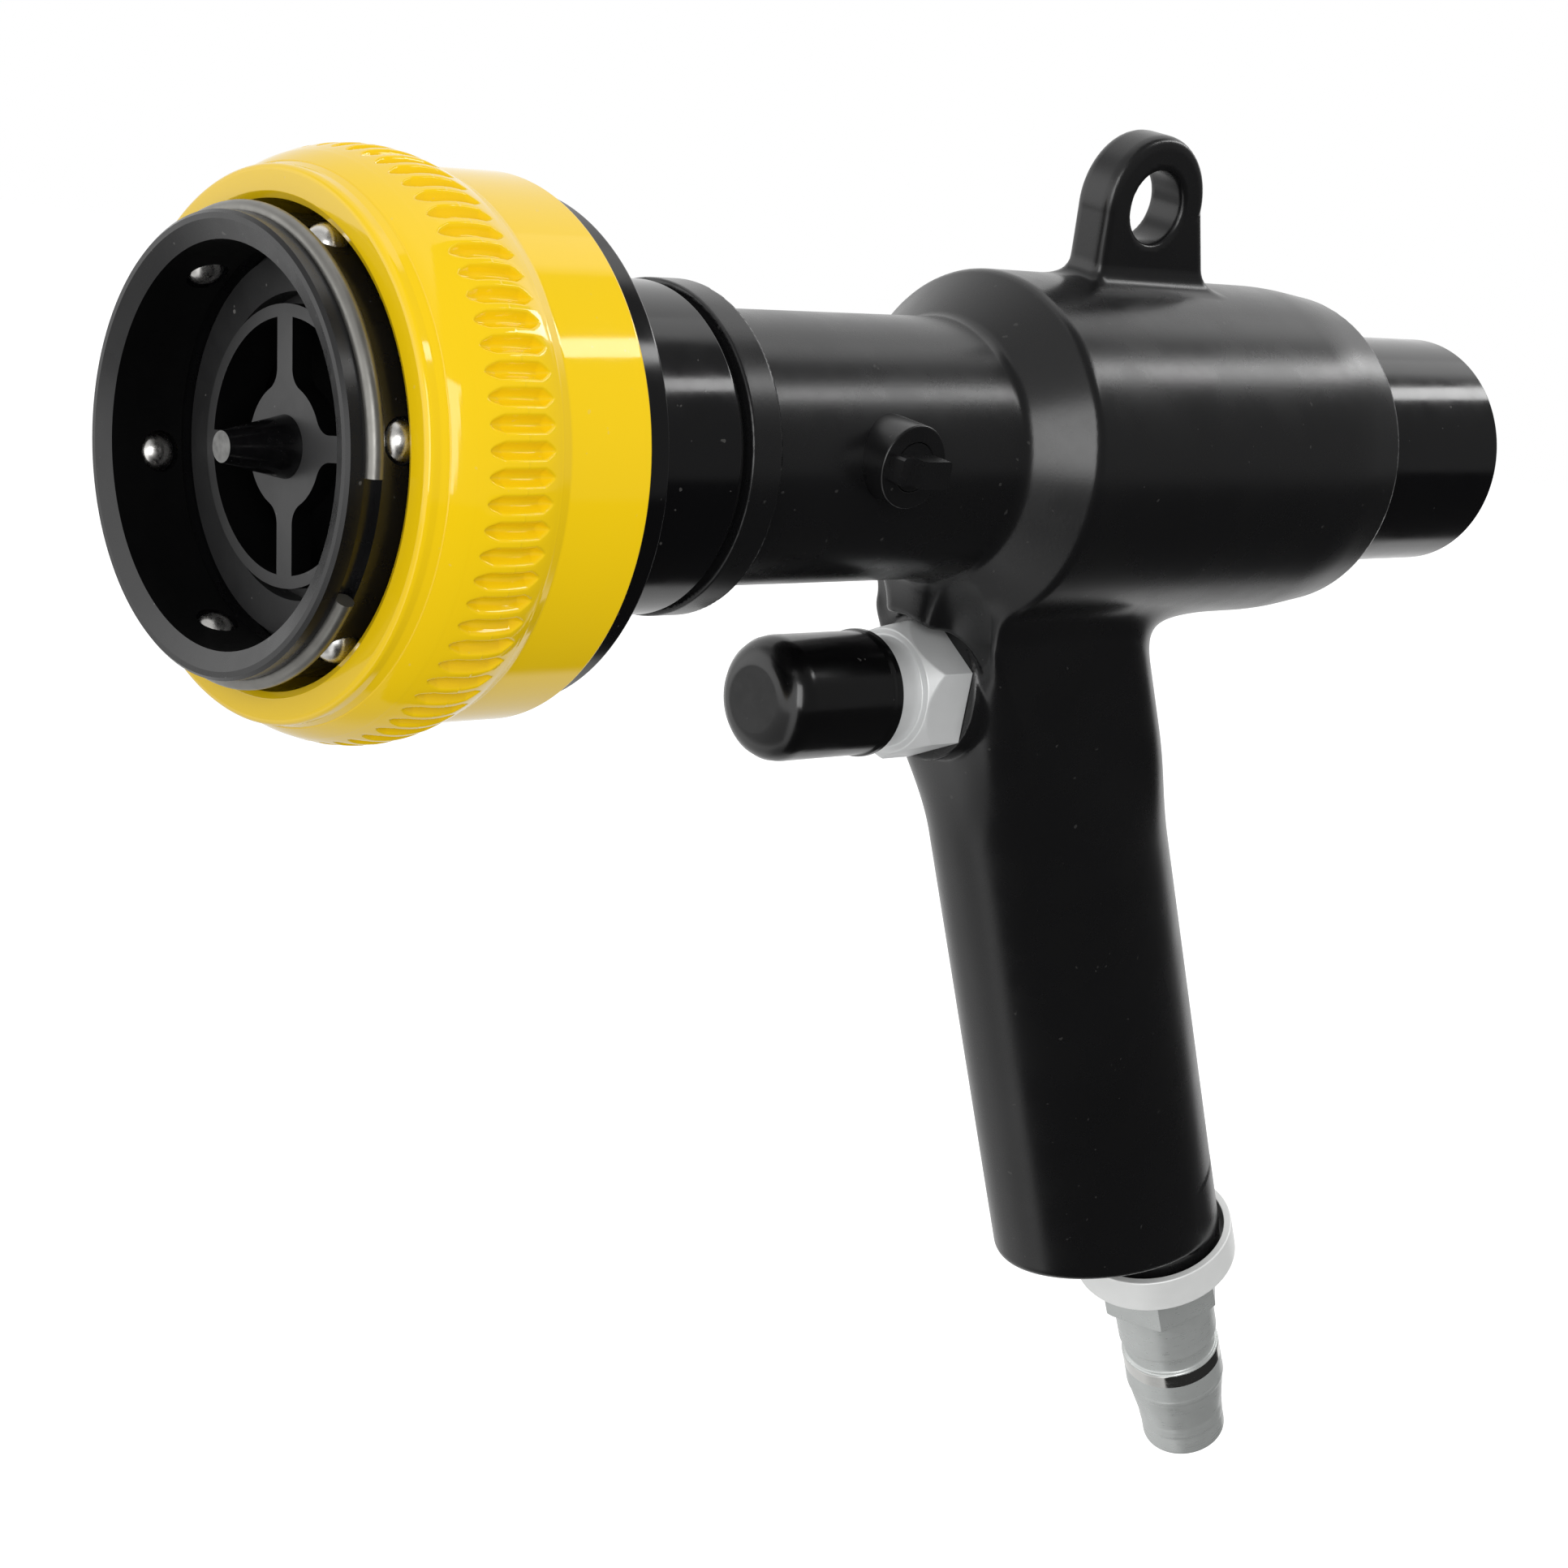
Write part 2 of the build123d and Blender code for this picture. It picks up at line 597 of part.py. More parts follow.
def make_rod_ring():
    return valve_place * o_ring(ROD_RING_X, BUSH_BORE_R + ROD_RING_R, ROD_RING_R)


def make_valve_seat():
    """Seat insert with a spacer skirt; its top port feeds the air passage."""
    seat = ring(BUSH_END_X, SEAT_LAND_X, SHANK_R, SEAT_SPACER_R)
    seat += ring(SEAT_LAND_X, SEAT_END_X, SHANK_R, SEAT_BORE_R)
    seat -= Pos(OUTLET_X, 0, SHANK_R) * Cylinder(OUTLET_R, SHANK_R)
    return valve_place * seat


def make_seat_ring():
    end = SEAT_END_X + SEAT_RING_THICKNESS
    return valve_place * ring(SEAT_END_X, end, POPPET_R, SEAT_BORE_R)


def make_poppet():
    disc = ring(poppet_start, poppet_end, POPPET_R)
    tail = ring(poppet_end, poppet_end + POPPET_TAIL_LENGTH, ROD_R)
    return valve_place * (disc + tail)


def make_valve_spring():
    spring = coil(poppet_end, VALVE_BORE_END_X, VALVE_SPRING_R, VALVE_SPRING_WIRE_R, VALVE_SPRING_TURNS)
    return valve_place * spring


# --- Air amplifier ----------------------------------------------------------------------------


def make_jet_ring():
    """Ring that feeds compressed air forwards through small jets to draw in more air."""
    jet_ring = turned(
        (JET_RING_X, AIR_BORE_R),
        (THROAT_X, THROAT_R),
        (THROAT_END_X, THROAT_R),
        (JET_RING_END_X, AIR_BORE_R),
        (JET_RING_END_X, JET_RING_R),
        (PLENUM_END_X, JET_RING_R),
        (PLENUM_END_X, PLENUM_R),
        (PLENUM_X, PLENUM_R),
        (PLENUM_X, JET_RING_R),
        (JET_RING_X, JET_RING_R),
    )
    jet_x = (PLENUM_X + THROAT_X) / 2 + JET_SHIFT
    jets = []
    for number in range(JET_COUNT):
        turn = math.radians(360 / JET_COUNT * number)
        outward = Vector(1, math.sin(turn), math.cos(turn))
        foot = Vector(jet_x, THROAT_R * math.sin(turn), THROAT_R * math.cos(turn))
        start = Plane(origin=foot - outward, z_dir=outward)
        jets.append(extrude(start * Circle(JET_R), 2 * (PLENUM_R - THROAT_R)))
    return jet_ring - jets


def make_intake_sleeve():
    """Open tube at the rear that the gun draws room air through."""
    sleeve = turned(
        (SLEEVE_X, AIR_BORE_R),
        (SLEEVE_X, SLEEVE_R),
        (BODY_END_X, SLEEVE_R),
        (SLEEVE_END_X - SLEEVE_ROUND, SLEEVE_END_R),
        (SLEEVE_END_X, SLEEVE_END_R - SLEEVE_ROUND),
        (SLEEVE_END_X, SLEEVE_MOUTH_R),
        (SLEEVE_END_X - SLEEVE_MOUTH_DEPTH, AIR_BORE_R),
    )
    groove_r = SLEEVE_RING_CENTRE_R - SLEEVE_RING_R
    return sleeve - ring(SLEEVE_RING_X - SLEEVE_RING_R, SLEEVE_RING_X + SLEEVE_RING_R, SLEEVE_R, groove_r)


def make_sleeve_ring():
    return o_ring(SLEEVE_RING_X, SLEEVE_RING_CENTRE_R, SLEEVE_RING_R)


# --- Inlet and side port ----------------------------------------------------------------------


def make_ferrule():
    """Aluminium cup washer under the grip."""
    cup = turned(
        (FERRULE_S, FERRULE_BORE_R),
        (FERRULE_S, FERRULE_R),
        (FERRULE_END_S, FERRULE_R),
        (FERRULE_END_S, PLUG_THREAD_R + PLUG_THREAD_GAP),
        (FERRULE_FLOOR_S, PLUG_THREAD_R + PLUG_THREAD_GAP),
        (FERRULE_FLOOR_S, FERRULE_BORE_R),
    )
    return inlet_plane * cup


def make_inlet_plug():
    """Quick-coupling plug: hexagon, locking groove, bead and nose."""
    plug = ring(PLUG_SHANK_S, FERRULE_END_S, PLUG_THREAD_R)
    plug += Rot(PLUG_HEX_TURN, 0, 0) * hexagon(FERRULE_END_S, PLUG_HEX_END_S, PLUG_HEX_FLATS)
    plug += turned(
        (PLUG_HEX_END_S, 0),
        (PLUG_HEX_END_S, PLUG_COLLAR_R),
        (PLUG_GROOVE_S, PLUG_COLLAR_R),
        (PLUG_GROOVE_S + PLUG_EDGE, PLUG_GROOVE_R),
        (PLUG_BEAD_S - PLUG_EDGE, PLUG_GROOVE_R),
        (PLUG_BEAD_S, PLUG_COLLAR_R - PLUG_FALL),
        (PLUG_BEAD_TOP_S, PLUG_COLLAR_R),
        (PLUG_TAPER_S, PLUG_COLLAR_R - PLUG_FALL),
        (PLUG_NOSE_S, PLUG_NOSE_R),
        (PLUG_END_S - PLUG_EDGE, PLUG_NOSE_R),
        (PLUG_END_S, PLUG_NOSE_R - PLUG_EDGE),
        (PLUG_END_S, 0),
    )
    plug -= ring(PLUG_SHANK_S, PLUG_END_S, PLUG_BORE_R)
    return inlet_plane * plug


def make_inlet_seal():
    return inlet_plane * ring(INLET_SEAL_S, PLUG_SHANK_S, PLUG_THREAD_R, INLET_PASSAGE_R)


def make_port_plug():
    """Screw plug of the side port, turned by a bar across its face."""
    stem_length = PORT_STEM_END_Y - PORT_FACE_Y
    stem_place = Pos(PORT_X, PORT_FACE_Y + stem_length / 2, PORT_Z) * Rot(90, 0, 0)
    stem = stem_place * Cylinder(PORT_STEM_R, stem_length)
    bar_x = PORT_X + PORT_BAR_SHIFT
    low_height = PORT_BAR_HEIGHT - PORT_BAR_STEP
    bar = Pos(bar_x, PORT_FACE_Y - PORT_BAR_HEIGHT / 2, PORT_Z) * Box(
        PORT_BAR_LENGTH, PORT_BAR_HEIGHT, PORT_BAR_WIDTH
    )
    bar = chamfer(bar.edges().filter_by(Axis.Y), PORT_BAR_EDGE)
    low_x = bar_x - (PORT_BAR_LENGTH - PORT_BAR_LOW_LENGTH) / 2
    bar -= Pos(low_x, PORT_FACE_Y - low_height - PORT_BAR_STEP, PORT_Z) * Box(
        PORT_BAR_LOW_LENGTH, 2 * PORT_BAR_STEP, PORT_BAR_WIDTH
    )
    return stem + bar


pieces = {
    "coupling_socket": make_coupling_socket(),
    "retaining_ring": make_retaining_ring(),
    "coupling_gasket": make_gasket(),
    "pin_spider": make_pin_spider(),
    "locking_collar": make_collar(),
    "collar_spring": coil(
        COLLAR_WEB_END_X, FLANGE_X, COLLAR_SPRING_R, COLLAR_SPRING_WIRE_R, COLLAR_SPRING_TURNS
    ),
    "neck_adapter": make_neck_adapter(),
    "neck_o_ring": o_ring(neck_ring_x, NECK_RING_CENTRE_R, NECK_RING_R),
    "gun_body": make_gun_body(),
    "button_cap": make_button_cap(),
    "push_rod": make_push_rod(),
    "valve_bush": make_valve_bush(),
    "rod_o_ring": make_rod_ring(),
    "valve_seat": make_valve_seat(),
    "seat_ring": make_seat_ring(),
    "valve_poppet": make_poppet(),
    "valve_spring": make_valve_spring(),
    "jet_ring": make_jet_ring(),
    "intake_sleeve": make_intake_sleeve(),
    "sleeve_o_ring": make_sleeve_ring(),
    "grip_ferrule": make_ferrule(),
    "inlet_plug": make_inlet_plug(),
    "inlet_seal": make_inlet_seal(),
    "port_plug": make_port_plug(),
}
for number, angle in enumerate(ball_angles, start=1):
    pieces[f"lock_ball_{number}"] = make_lock_ball(angle)

for name, piece in pieces.items():
    export_step(piece, f"parts/{name}.step")
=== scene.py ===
import math

import bpy
import numpy as np
from mathutils import Matrix, Vector


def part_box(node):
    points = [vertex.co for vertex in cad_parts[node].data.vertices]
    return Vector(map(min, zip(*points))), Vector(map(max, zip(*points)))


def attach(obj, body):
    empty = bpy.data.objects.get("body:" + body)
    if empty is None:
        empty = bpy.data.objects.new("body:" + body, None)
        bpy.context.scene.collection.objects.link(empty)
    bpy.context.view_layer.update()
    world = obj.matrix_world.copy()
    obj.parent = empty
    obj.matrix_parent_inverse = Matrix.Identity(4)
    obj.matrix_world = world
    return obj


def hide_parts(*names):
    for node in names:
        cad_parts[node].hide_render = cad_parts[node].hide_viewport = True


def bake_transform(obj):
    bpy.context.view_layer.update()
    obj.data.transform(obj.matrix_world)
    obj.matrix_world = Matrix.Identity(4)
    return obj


# Pistol-grip air inflator: detailed pieces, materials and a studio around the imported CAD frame.
# Shapes are worked out in millimetres from the centre of the coupling mouth, with the barrel
# along X, and placed in metres.

MM = 0.001

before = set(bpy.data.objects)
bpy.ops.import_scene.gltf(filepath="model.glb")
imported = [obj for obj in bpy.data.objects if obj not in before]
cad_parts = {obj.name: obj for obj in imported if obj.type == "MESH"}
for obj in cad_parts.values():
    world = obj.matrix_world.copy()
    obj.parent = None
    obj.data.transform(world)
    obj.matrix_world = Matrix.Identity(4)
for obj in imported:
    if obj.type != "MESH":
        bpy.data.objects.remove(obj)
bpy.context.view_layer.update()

# --- Dimensions in millimetres ---
# X is measured back from the mouth and S down the inlet; R is a radius, Z a height above the barrel.

PIN_TIP_END_X = 1.0
PIN_END_X = 7.25
PIN_R = 2.9
SOCKET_BORE_R = 17.9

COLLAR_LIP_X = 5.0
COLLAR_LIP_BORE_R = 21.75
COLLAR_CREST_R = 24.1
COLLAR_CREST_X = 6.3
COLLAR_WAIST = (7.1, 24.45)
COLLAR_DOME_TOP = (13.0, 26.3)
COLLAR_DOME_END = (18.3, 25.2)
COLLAR_DOME_STEPS = 44
COLLAR_FOOT_X = 19.35
COLLAR_SLEEVE_R = 24.75
COLLAR_END_X = 28.2
COLLAR_REAR_BORE_R = 23.53
COLLAR_WEB_END_X = 14.0
COLLAR_LAND_R = 20.08
COLLAR_LAND_X = 10.65
COLLAR_RAMP_X = 5.3
COLLAR_RAMP_R = 21.15

GROOVE_COUNT = 74
GROOVE_START_X = 10.1
GROOVE_RUN_IN = 1.3
GROOVE_END_X = 16.9
GROOVE_RUN_OUT = 1.2
GROOVE_HALF_SHARE = 0.36
GROOVE_DEPTH = 0.85
CROWN_HEIGHT = 0.025
CROWN_RUN_IN = (9.4, 11.0)
CROWN_RUN_OUT = (16.0, 17.4)
CROWN_DROP = 0.03
SEAM_X = 13.6
SEAM_WIDTH = 0.06
SEAM_HEIGHT = 0.06
GROOVED_R = 24.3
GROOVED_X = (9.0, 18.0)
GROOVED_FINE_X = (9.5, 17.5)
GROOVED_SPACING = 0.16
GROOVED_SMOOTH_R = 24.0
GROOVED_SMOOTH_X = (8.8, 18.2)

AIR_BORE_R = 11.2
SPIGOT_X = 12.0
SPIGOT_R = 18.25
SPIGOT_MOUTH_R = 16.0
SPIGOT_CONE_END_X = 20.0
FLANGE_X = 24.0
FLANGE_END_X = 31.3
FLANGE_R = 23.45
NECK_R = 15.8
NECK_END_X = 46.4
NECK_TAIL_R = 13.95
NECK_TAIL_END_X = 50.8
# Painted shade in the neck bore reaches to this x, under this radius.
NECK_PAINTED_SHADE_LIMIT = (52.0, 15.7)

BODY_FRONT_X = 47.5
BODY_FLANGE_R = 16.0
BODY_FLANGE_END_X = 51.3
BARREL_X = (48.0, 95.0)
BARREL_R = 13.38
SHOULDER_X = 86.4
SHOULDER_END_X = 92.0
DRUM_X = 84.0
BODY_R = 18.5
BODY_DRAFT_X = 135.2
BODY_DRAFT_R = 18.1
BODY_END_X = 142.3
BODY_END_R = 17.2
TAIL_SOCKET_R = 14.0
TAIL_SOCKET_END_X = 51.0
REAR_BORE_R = 13.05
WEB_X = (87.3, 96.0)
WEB_Z = (-30.0, -8.0)
WEB_HALF_WIDTH = 3.4

GRIP_TOP_Z = -11.0
GRIP_FRONT_X = 95.7
GRIP_FRONT_DROP = 34.9
GRIP_FRONT_LEAN = 0.475
GRIP_STOP_X = 91.8
GRIP_STOP_STEP = 0.9
GRIP_STOP_DROPS = (19.0, 23.0)
GRIP_REAR_X = 128.4
GRIP_REAR_DROP = 32.5
GRIP_REAR_LEAN = 0.502
GRIP_REAR_HOLLOW = 1.7
GRIP_HALF_WIDTH = 9.6
GRIP_WIDTH_DROP = 39.5
GRIP_WIDTH_GAIN = 0.0064
GRIP_FLAT_DROPS = (30.0, 45.0)
GRIP_FRONT_ROUND = 0.9
GRIP_FRONT_ROUND_GAIN = 5.6
GRIP_FRONT_ROUND_DROPS = (19.5, 30.0)
GRIP_REAR_ROUND = 7.5
GRIP_CUT_S = 112.6
GRIP_CUT_TILT = math.radians(4.7)
GRIP_FRONT_BLEND = 2.6
GRIP_REAR_BLEND = 10.0
GRIP_BLEND_X = (112.0, 130.0)

LUG_X = 110.2
LUG_Z = 26.6
LUG_R = 7.48
LUG_HOLE_R = 3.85
LUG_HALF_WIDTH = 2.5
LUG_FOOT_X = 112.2
LUG_FOOT_Z = 17.0
LUG_FOOT_HALF_LENGTH = 8.8
LUG_ROOT_Z = 12.0

PORT_X = 68.0
PORT_Z = 2.45
PORT_BORE_R = 2.45
PORT_BORE_Y = -8.0
PORT_BOSS_R = 4.15
PORT_BOSS_OUT = (11.5, 16.0)

SLEEVE_FRONT_X = 108.0
SLEEVE_R = 13.0
SLEEVE_GROOVE_X = (135.4, 136.6)
SLEEVE_GROOVE_R = 11.84
SLEEVE_END_X = 166.4
SLEEVE_END_R = 12.9
SLEEVE_MOUTH_R = 12.2
SLEEVE_MOUTH_X = 163.4
# Painted shade in the sleeve bore reaches to this x, under this radius.
SLEEVE_PAINTED_SHADE_LIMIT = (163.0, 11.6)

CAP_FRONT_X = 68.0
CAP_FLOOR_X = 70.0
CAP_R = 6.49
CAP_BEAD_X = (81.7, 82.1)
CAP_BEAD_R = 6.7
CAP_END_X = 83.0
CAP_BORE_R = 5.88
CAP_POCKET_X = 70.0
CAP_POCKET_R = 8.15
VALVE_BOSS_X = (92.2, 104.0)
VALVE_BOSS_R = 7.75
VALVE_BORE_X = (90.0, 119.0)
VALVE_BORE_R = 5.95
BUSH_HALF_FLATS = 6.7
BUSH_HEX_X = 86.4
BUSH_CHAMFER_R = 6.6
BUSH_CHAMFER_SLOPE = 0.63
BUSH_NECK_X = (76.0, 87.0)
BUSH_NECK_R = 5.8
BUSH_SHANK_X = (91.0, 97.0)
BUSH_SHANK_R = 5.9
ROD_BORE_R = 2.06
ROD_RING_X = 94.6
ROD_RING_HALF_WIDTH = 0.8
ROD_RING_R = 3.86

INLET_X = 99.4
INLET_LEAN = math.radians(27.8)
INLET_BOSS_S = (104.0, 117.3)
INLET_BOSS_R = 8.4
INLET_BORE_S = (60.0, 119.0)
INLET_BORE_R = 6.55
FERRULE_S = 113.6
FERRULE_FLOOR_S = 117.4
FERRULE_END_S = 118.4
FERRULE_R = 10.1
FERRULE_BORE_R = 9.15
PLUG_SHANK_S = (104.0, 119.0)
PLUG_SHANK_R = 6.5
PLUG_HEX_END_S = 124.6
PLUG_HALF_FLATS = 6.85
PLUG_HEX_TURN = 14.0
PLUG_CHAMFER_R = 7.5
PLUG_CHAMFER_SLOPE = 1.7
PLUG_COLLAR_S = (123.0, 131.5)
PLUG_COLLAR_R = 6.27
PLUG_GROOVE_S = (130.0, 135.0)
PLUG_GROOVE_R = 5.75
PLUG_BEAD_S = (133.9, 139.9)
PLUG_BEAD_R = 6.25
PLUG_TAPER_S = (139.0, 146.5)
PLUG_TAPER_START = (139.5, 6.2)
PLUG_TAPER_SLOPE = 0.14
PLUG_NOSE_S = (145.0, 149.93)
PLUG_NOSE_R = 5.33
PLUG_BORE_R = 3.75
PLUG_POLISHED_S = (134.2, 136.2)
PLUG_POLISHED_R = 5.9

# --- Where things are ---


def box_of(node):
    """Low and high corner of a CAD node in metres."""
    low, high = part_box(node)
    return np.array(low, float), np.array(high, float)


socket_low, socket_high = box_of("coupling_socket")
MOUTH = np.array([socket_low[0], *((socket_low + socket_high) / 2)[1:]])
bush_low, bush_high = box_of("valve_bush")
VALVE_Z = ((bush_low + bush_high) / 2 - MOUTH)[2] / MM

INLET_AXIS = np.array([math.sin(INLET_LEAN), 0.0, -math.cos(INLET_LEAN)])

# --- Materials ---


class Graph:
    """Short way to wire shader nodes; an input is given by its name or, as i0, by its number."""

    def __init__(self, tree):
        self.tree = tree

    def add(self, kind, settings=(), **inputs):
        node = self.tree.nodes.new(kind)
        for key, value in dict(settings).items():
            setattr(node, key, value)
        for key, value in inputs.items():
            is_number = key[0] == "i" and key[1:].isdigit()
            socket = node.inputs[int(key[1:]) if is_number else key.replace("_", " ")]
            if isinstance(value, bpy.types.NodeSocket):
                self.tree.links.new(value, socket)
            else:
                socket.default_value = value
        return node

    def math(self, operation, first, second=0.0):
        return self.add("ShaderNodeMath", {"operation": operation}, i0=first, i1=second).outputs[0]

    def vector(self, operation, **inputs):
        return self.add("ShaderNodeVectorMath", {"operation": operation}, **inputs)

    def plus(self, first, second):
        return self.math("ADD", first, second)

    def times(self, first, second):
        return self.math("MULTIPLY", first, second)

    def switch(self, factor, first, second):
        """First number where the factor is 1 and second where it is 0."""
        return self.plus(self.times(factor, first), self.times(self.math("SUBTRACT", 1.0, factor), second))

    def ramp(self, value, low, high, start=0.0, end=1.0):
        """Smooth step of value between low and high, from start to end."""
        node = self.add(
            "ShaderNodeMapRange",
            {"interpolation_type": "SMOOTHSTEP"},
            Value=value, From_Min=low, From_Max=high, To_Min=start, To_Max=end,
        )
        return node.outputs[0]

    def mix(self, factor, first, second):
        """First colour where the factor is 0 and second where it is 1."""
        node = self.add("ShaderNodeMix", {"data_type": "RGBA"})
        for socket, value in ((node.inputs[0], factor), (node.inputs[6], first), (node.inputs[7], second)):
            if isinstance(value, bpy.types.NodeSocket):
                self.tree.links.new(value, socket)
            elif isinstance(value, (int, float)):
                socket.default_value = value
            else:
                socket.default_value = (*value, 1.0)
        return node.outputs[2]

    def noise(self, vector, scale, detail=3.0, roughness=0.5):
        node = self.add("ShaderNodeTexNoise", Vector=vector, Scale=scale, Detail=detail, Roughness=roughness)
        return node.outputs[0]


def empty_graph(owner):
    """Graph of a material or world, with the nodes it started with removed."""
    owner.use_nodes = True
    owner.node_tree.nodes.clear()
    return Graph(owner.node_tree)


SPECK_COLOUR = (0.45, 0.44, 0.42)
SPECK_SCALE = 1100.0


def shade(colour, factor):
    return tuple(min(1.0, channel * factor) for channel in colour)


def make_material(
    name,
    colour,
    roughness,
    metallic=0.0,
    patch=0.10,
    patch_scale=70.0,
    rough_spread=0.05,
    grain=1800.0,
    grain_depth=0.012,
    speck=0.0,
    turned=0.0,
    specular=0.5,
    axis=(1.0, 0.0, 0.0),
):
    """Procedural surface: colour patches, uneven gloss, fine grain, small specks and turning lines."""
    material = bpy.data.materials.new(name)
    graph = empty_graph(material)
    place = graph.add("ShaderNodeTexCoord").outputs["Object"]
    patches = graph.noise(place, patch_scale, detail=4.0)
    base = graph.mix(patches, shade(colour, 1.0 - patch), shade(colour, 1.0 + patch))
    height = graph.noise(place, grain, detail=3.0, roughness=0.6)
    smears = graph.noise(place, patch_scale * 3.0, detail=5.0, roughness=0.6)
    rough = graph.ramp(smears, 0.3, 0.7, roughness - rough_spread, roughness + rough_spread)
    if turned:
        along = graph.vector("DOT_PRODUCT", i0=place, i1=axis).outputs["Value"]
        centre = graph.vector("SCALE", i0=axis, Scale=along).outputs[0]
        radius = graph.vector("DISTANCE", i0=place, i1=centre).outputs["Value"]
        lines = graph.add("ShaderNodeCombineXYZ", X=along, Y=radius)
        rings = graph.noise(lines.outputs[0], turned, detail=2.0, roughness=0.7)
        height = graph.plus(height, rings)
        rough = graph.plus(rough, graph.ramp(rings, 0.35, 0.65, start=-0.05, end=0.05))
    if speck:
        dots = graph.ramp(graph.noise(place, SPECK_SCALE, detail=1.0), 0.765, 0.79)
        base = graph.mix(graph.times(dots, speck), base, SPECK_COLOUR)
    bump = graph.add("ShaderNodeBump", Strength=1.0, Distance=grain_depth * MM, Height=height)
    surface = graph.add(
        "ShaderNodeBsdfPrincipled",
        Base_Color=base, Roughness=rough, Normal=bump.outputs[0],
        Metallic=metallic, Specular_IOR_Level=specular,
    )
    graph.add("ShaderNodeOutputMaterial", Surface=surface.outputs[0])
    return material


NYLON = make_material(
    "body_nylon", (0.0055, 0.0055, 0.0059), 0.27, patch=0.25, patch_scale=45.0, rough_spread=0.03,
    grain=2600.0, grain_depth=0.004, speck=0.05,
)
GLOSS_BLACK = make_material(
    "gloss_black", (0.0022, 0.0022, 0.0026), 0.15, patch=0.3, rough_spread=0.03, grain=1500.0,
    grain_depth=0.0015, speck=0.1,
)
# Darker, duller black put on bore walls and spider side walls: painted shade in deep recesses.
PAINTED_SHADE_BLACK = make_material(
    "painted_shade_black", (0.0012, 0.0012, 0.0013), 0.5, patch=0.3, grain=1500.0, grain_depth=0.004,
    specular=0.15,
)
SOCKET_BLACK = make_material(
    "socket_black", (0.004, 0.004, 0.0044), 0.28, patch=0.3, grain=1800.0, grain_depth=0.003, speck=0.12,
)
SPIDER_BLACK = make_material(
    "spider_black", (0.026, 0.026, 0.0265), 0.40, patch=0.3, grain=2200.0, grain_depth=0.005, speck=0.15,
)
PIN_BLACK = make_material(
    "pin_black", (0.003, 0.003, 0.0033), 0.20, patch=0.5, patch_scale=500.0, rough_spread=0.08,
    grain=1800.0, grain_depth=0.006, speck=0.3,
)
PIN_SCUFF = make_material(
    "pin_scuff", (0.15, 0.15, 0.145), 0.55, patch=0.7, patch_scale=1300.0, grain=2500.0,
    grain_depth=0.03,
)
YELLOW = make_material(
    "collar_yellow", (0.90, 0.60, 0.006), 0.075, patch=0.02, patch_scale=50.0, rough_spread=0.02,
    grain=700.0, grain_depth=0.0012, speck=0.1,
)
WIRE = make_material(
    "wire_steel", (0.22, 0.215, 0.20), 0.38, metallic=0.85, patch=0.3, patch_scale=300.0, grain=1500.0,
    grain_depth=0.008,
)
BALL = make_material(
    "ball_steel", (0.62, 0.61, 0.59), 0.27, metallic=1.0, patch=0.15, patch_scale=700.0, grain=3000.0,
    grain_depth=0.004,
)
SPRING = make_material(
    "spring_steel", (0.36, 0.36, 0.37), 0.3, metallic=1.0, patch=0.15, grain=1500.0, grain_depth=0.004,
)
ALUMINIUM = make_material(
    "bright_aluminium", (0.70, 0.71, 0.71), 0.42, metallic=0.35, patch=0.05, patch_scale=250.0,
    rough_spread=0.05, grain=2500.0, grain_depth=0.002, turned=3500.0,
)
FERRULE_ALUMINIUM = make_material(
    "ferrule_aluminium", (0.86, 0.87, 0.86), 0.42, metallic=0.25, patch=0.05, patch_scale=250.0,
    rough_spread=0.05, grain=2500.0, grain_depth=0.002, turned=3500.0, axis=tuple(INLET_AXIS),
)
ZINC = make_material(
    "zinc_steel", (0.55, 0.57, 0.56), 0.34, metallic=0.5, patch=0.10, patch_scale=220.0,
    rough_spread=0.06, grain=1800.0, grain_depth=0.004, turned=3000.0, axis=tuple(INLET_AXIS),
)
POLISHED = make_material(
    "zinc_polished", (0.68, 0.68, 0.66), 0.10, metallic=1.0, patch=0.06, patch_scale=300.0,
    grain=2500.0, grain_depth=0.002, turned=3500.0, axis=tuple(INLET_AXIS),
)
GASKET = make_material(
    "gasket_rubber", (0.014, 0.014, 0.0145), 0.5, patch=0.25, patch_scale=120.0, grain=2200.0,
    grain_depth=0.01, speck=0.3,
)
O_RING = make_material(
    "o_ring_rubber", (0.006, 0.006, 0.006), 0.45, patch=0.2, grain=2200.0, grain_depth=0.008,
)
VINYL = make_material(
    "cap_vinyl", (0.0028, 0.0028, 0.003), 0.2, patch=0.3, rough_spread=0.04, grain=1500.0,
    grain_depth=0.004, speck=0.1,
)

# --- Turned pieces ---

SHARPEST_CORNER_R = 0.04


def corner_arc(before, corner, after, radius, steps):
    """Points and outward normals of a rounded corner of an outline."""
    into = (corner - before) / np.linalg.norm(corner - before)
    out = (after - corner) / np.linalg.norm(after - corner)
    turn = into[0] * out[1] - into[1] * out[0]
    angle = math.atan2(turn, float(into @ out))
    reach = radius * math.tan(abs(angle) / 2)
    limit = 0.49 * min(np.linalg.norm(corner - before), np.linalg.norm(after - corner))
    if reach > limit:
        radius *= limit / reach
        reach = limit
    start_normal = np.array([-into[1], into[0]])
    side = math.copysign(1.0, angle)
    centre = corner - into * reach + side * radius * start_normal
    points, normals = [], []
    for number in range(steps + 1):
        part = angle * number / steps
        spin = np.array([[math.cos(part), -math.sin(part)], [math.sin(part), math.cos(part)]])
        normal = spin @ start_normal
        points.append(centre - side * radius * normal)
        normals.append(normal)
    return points, normals


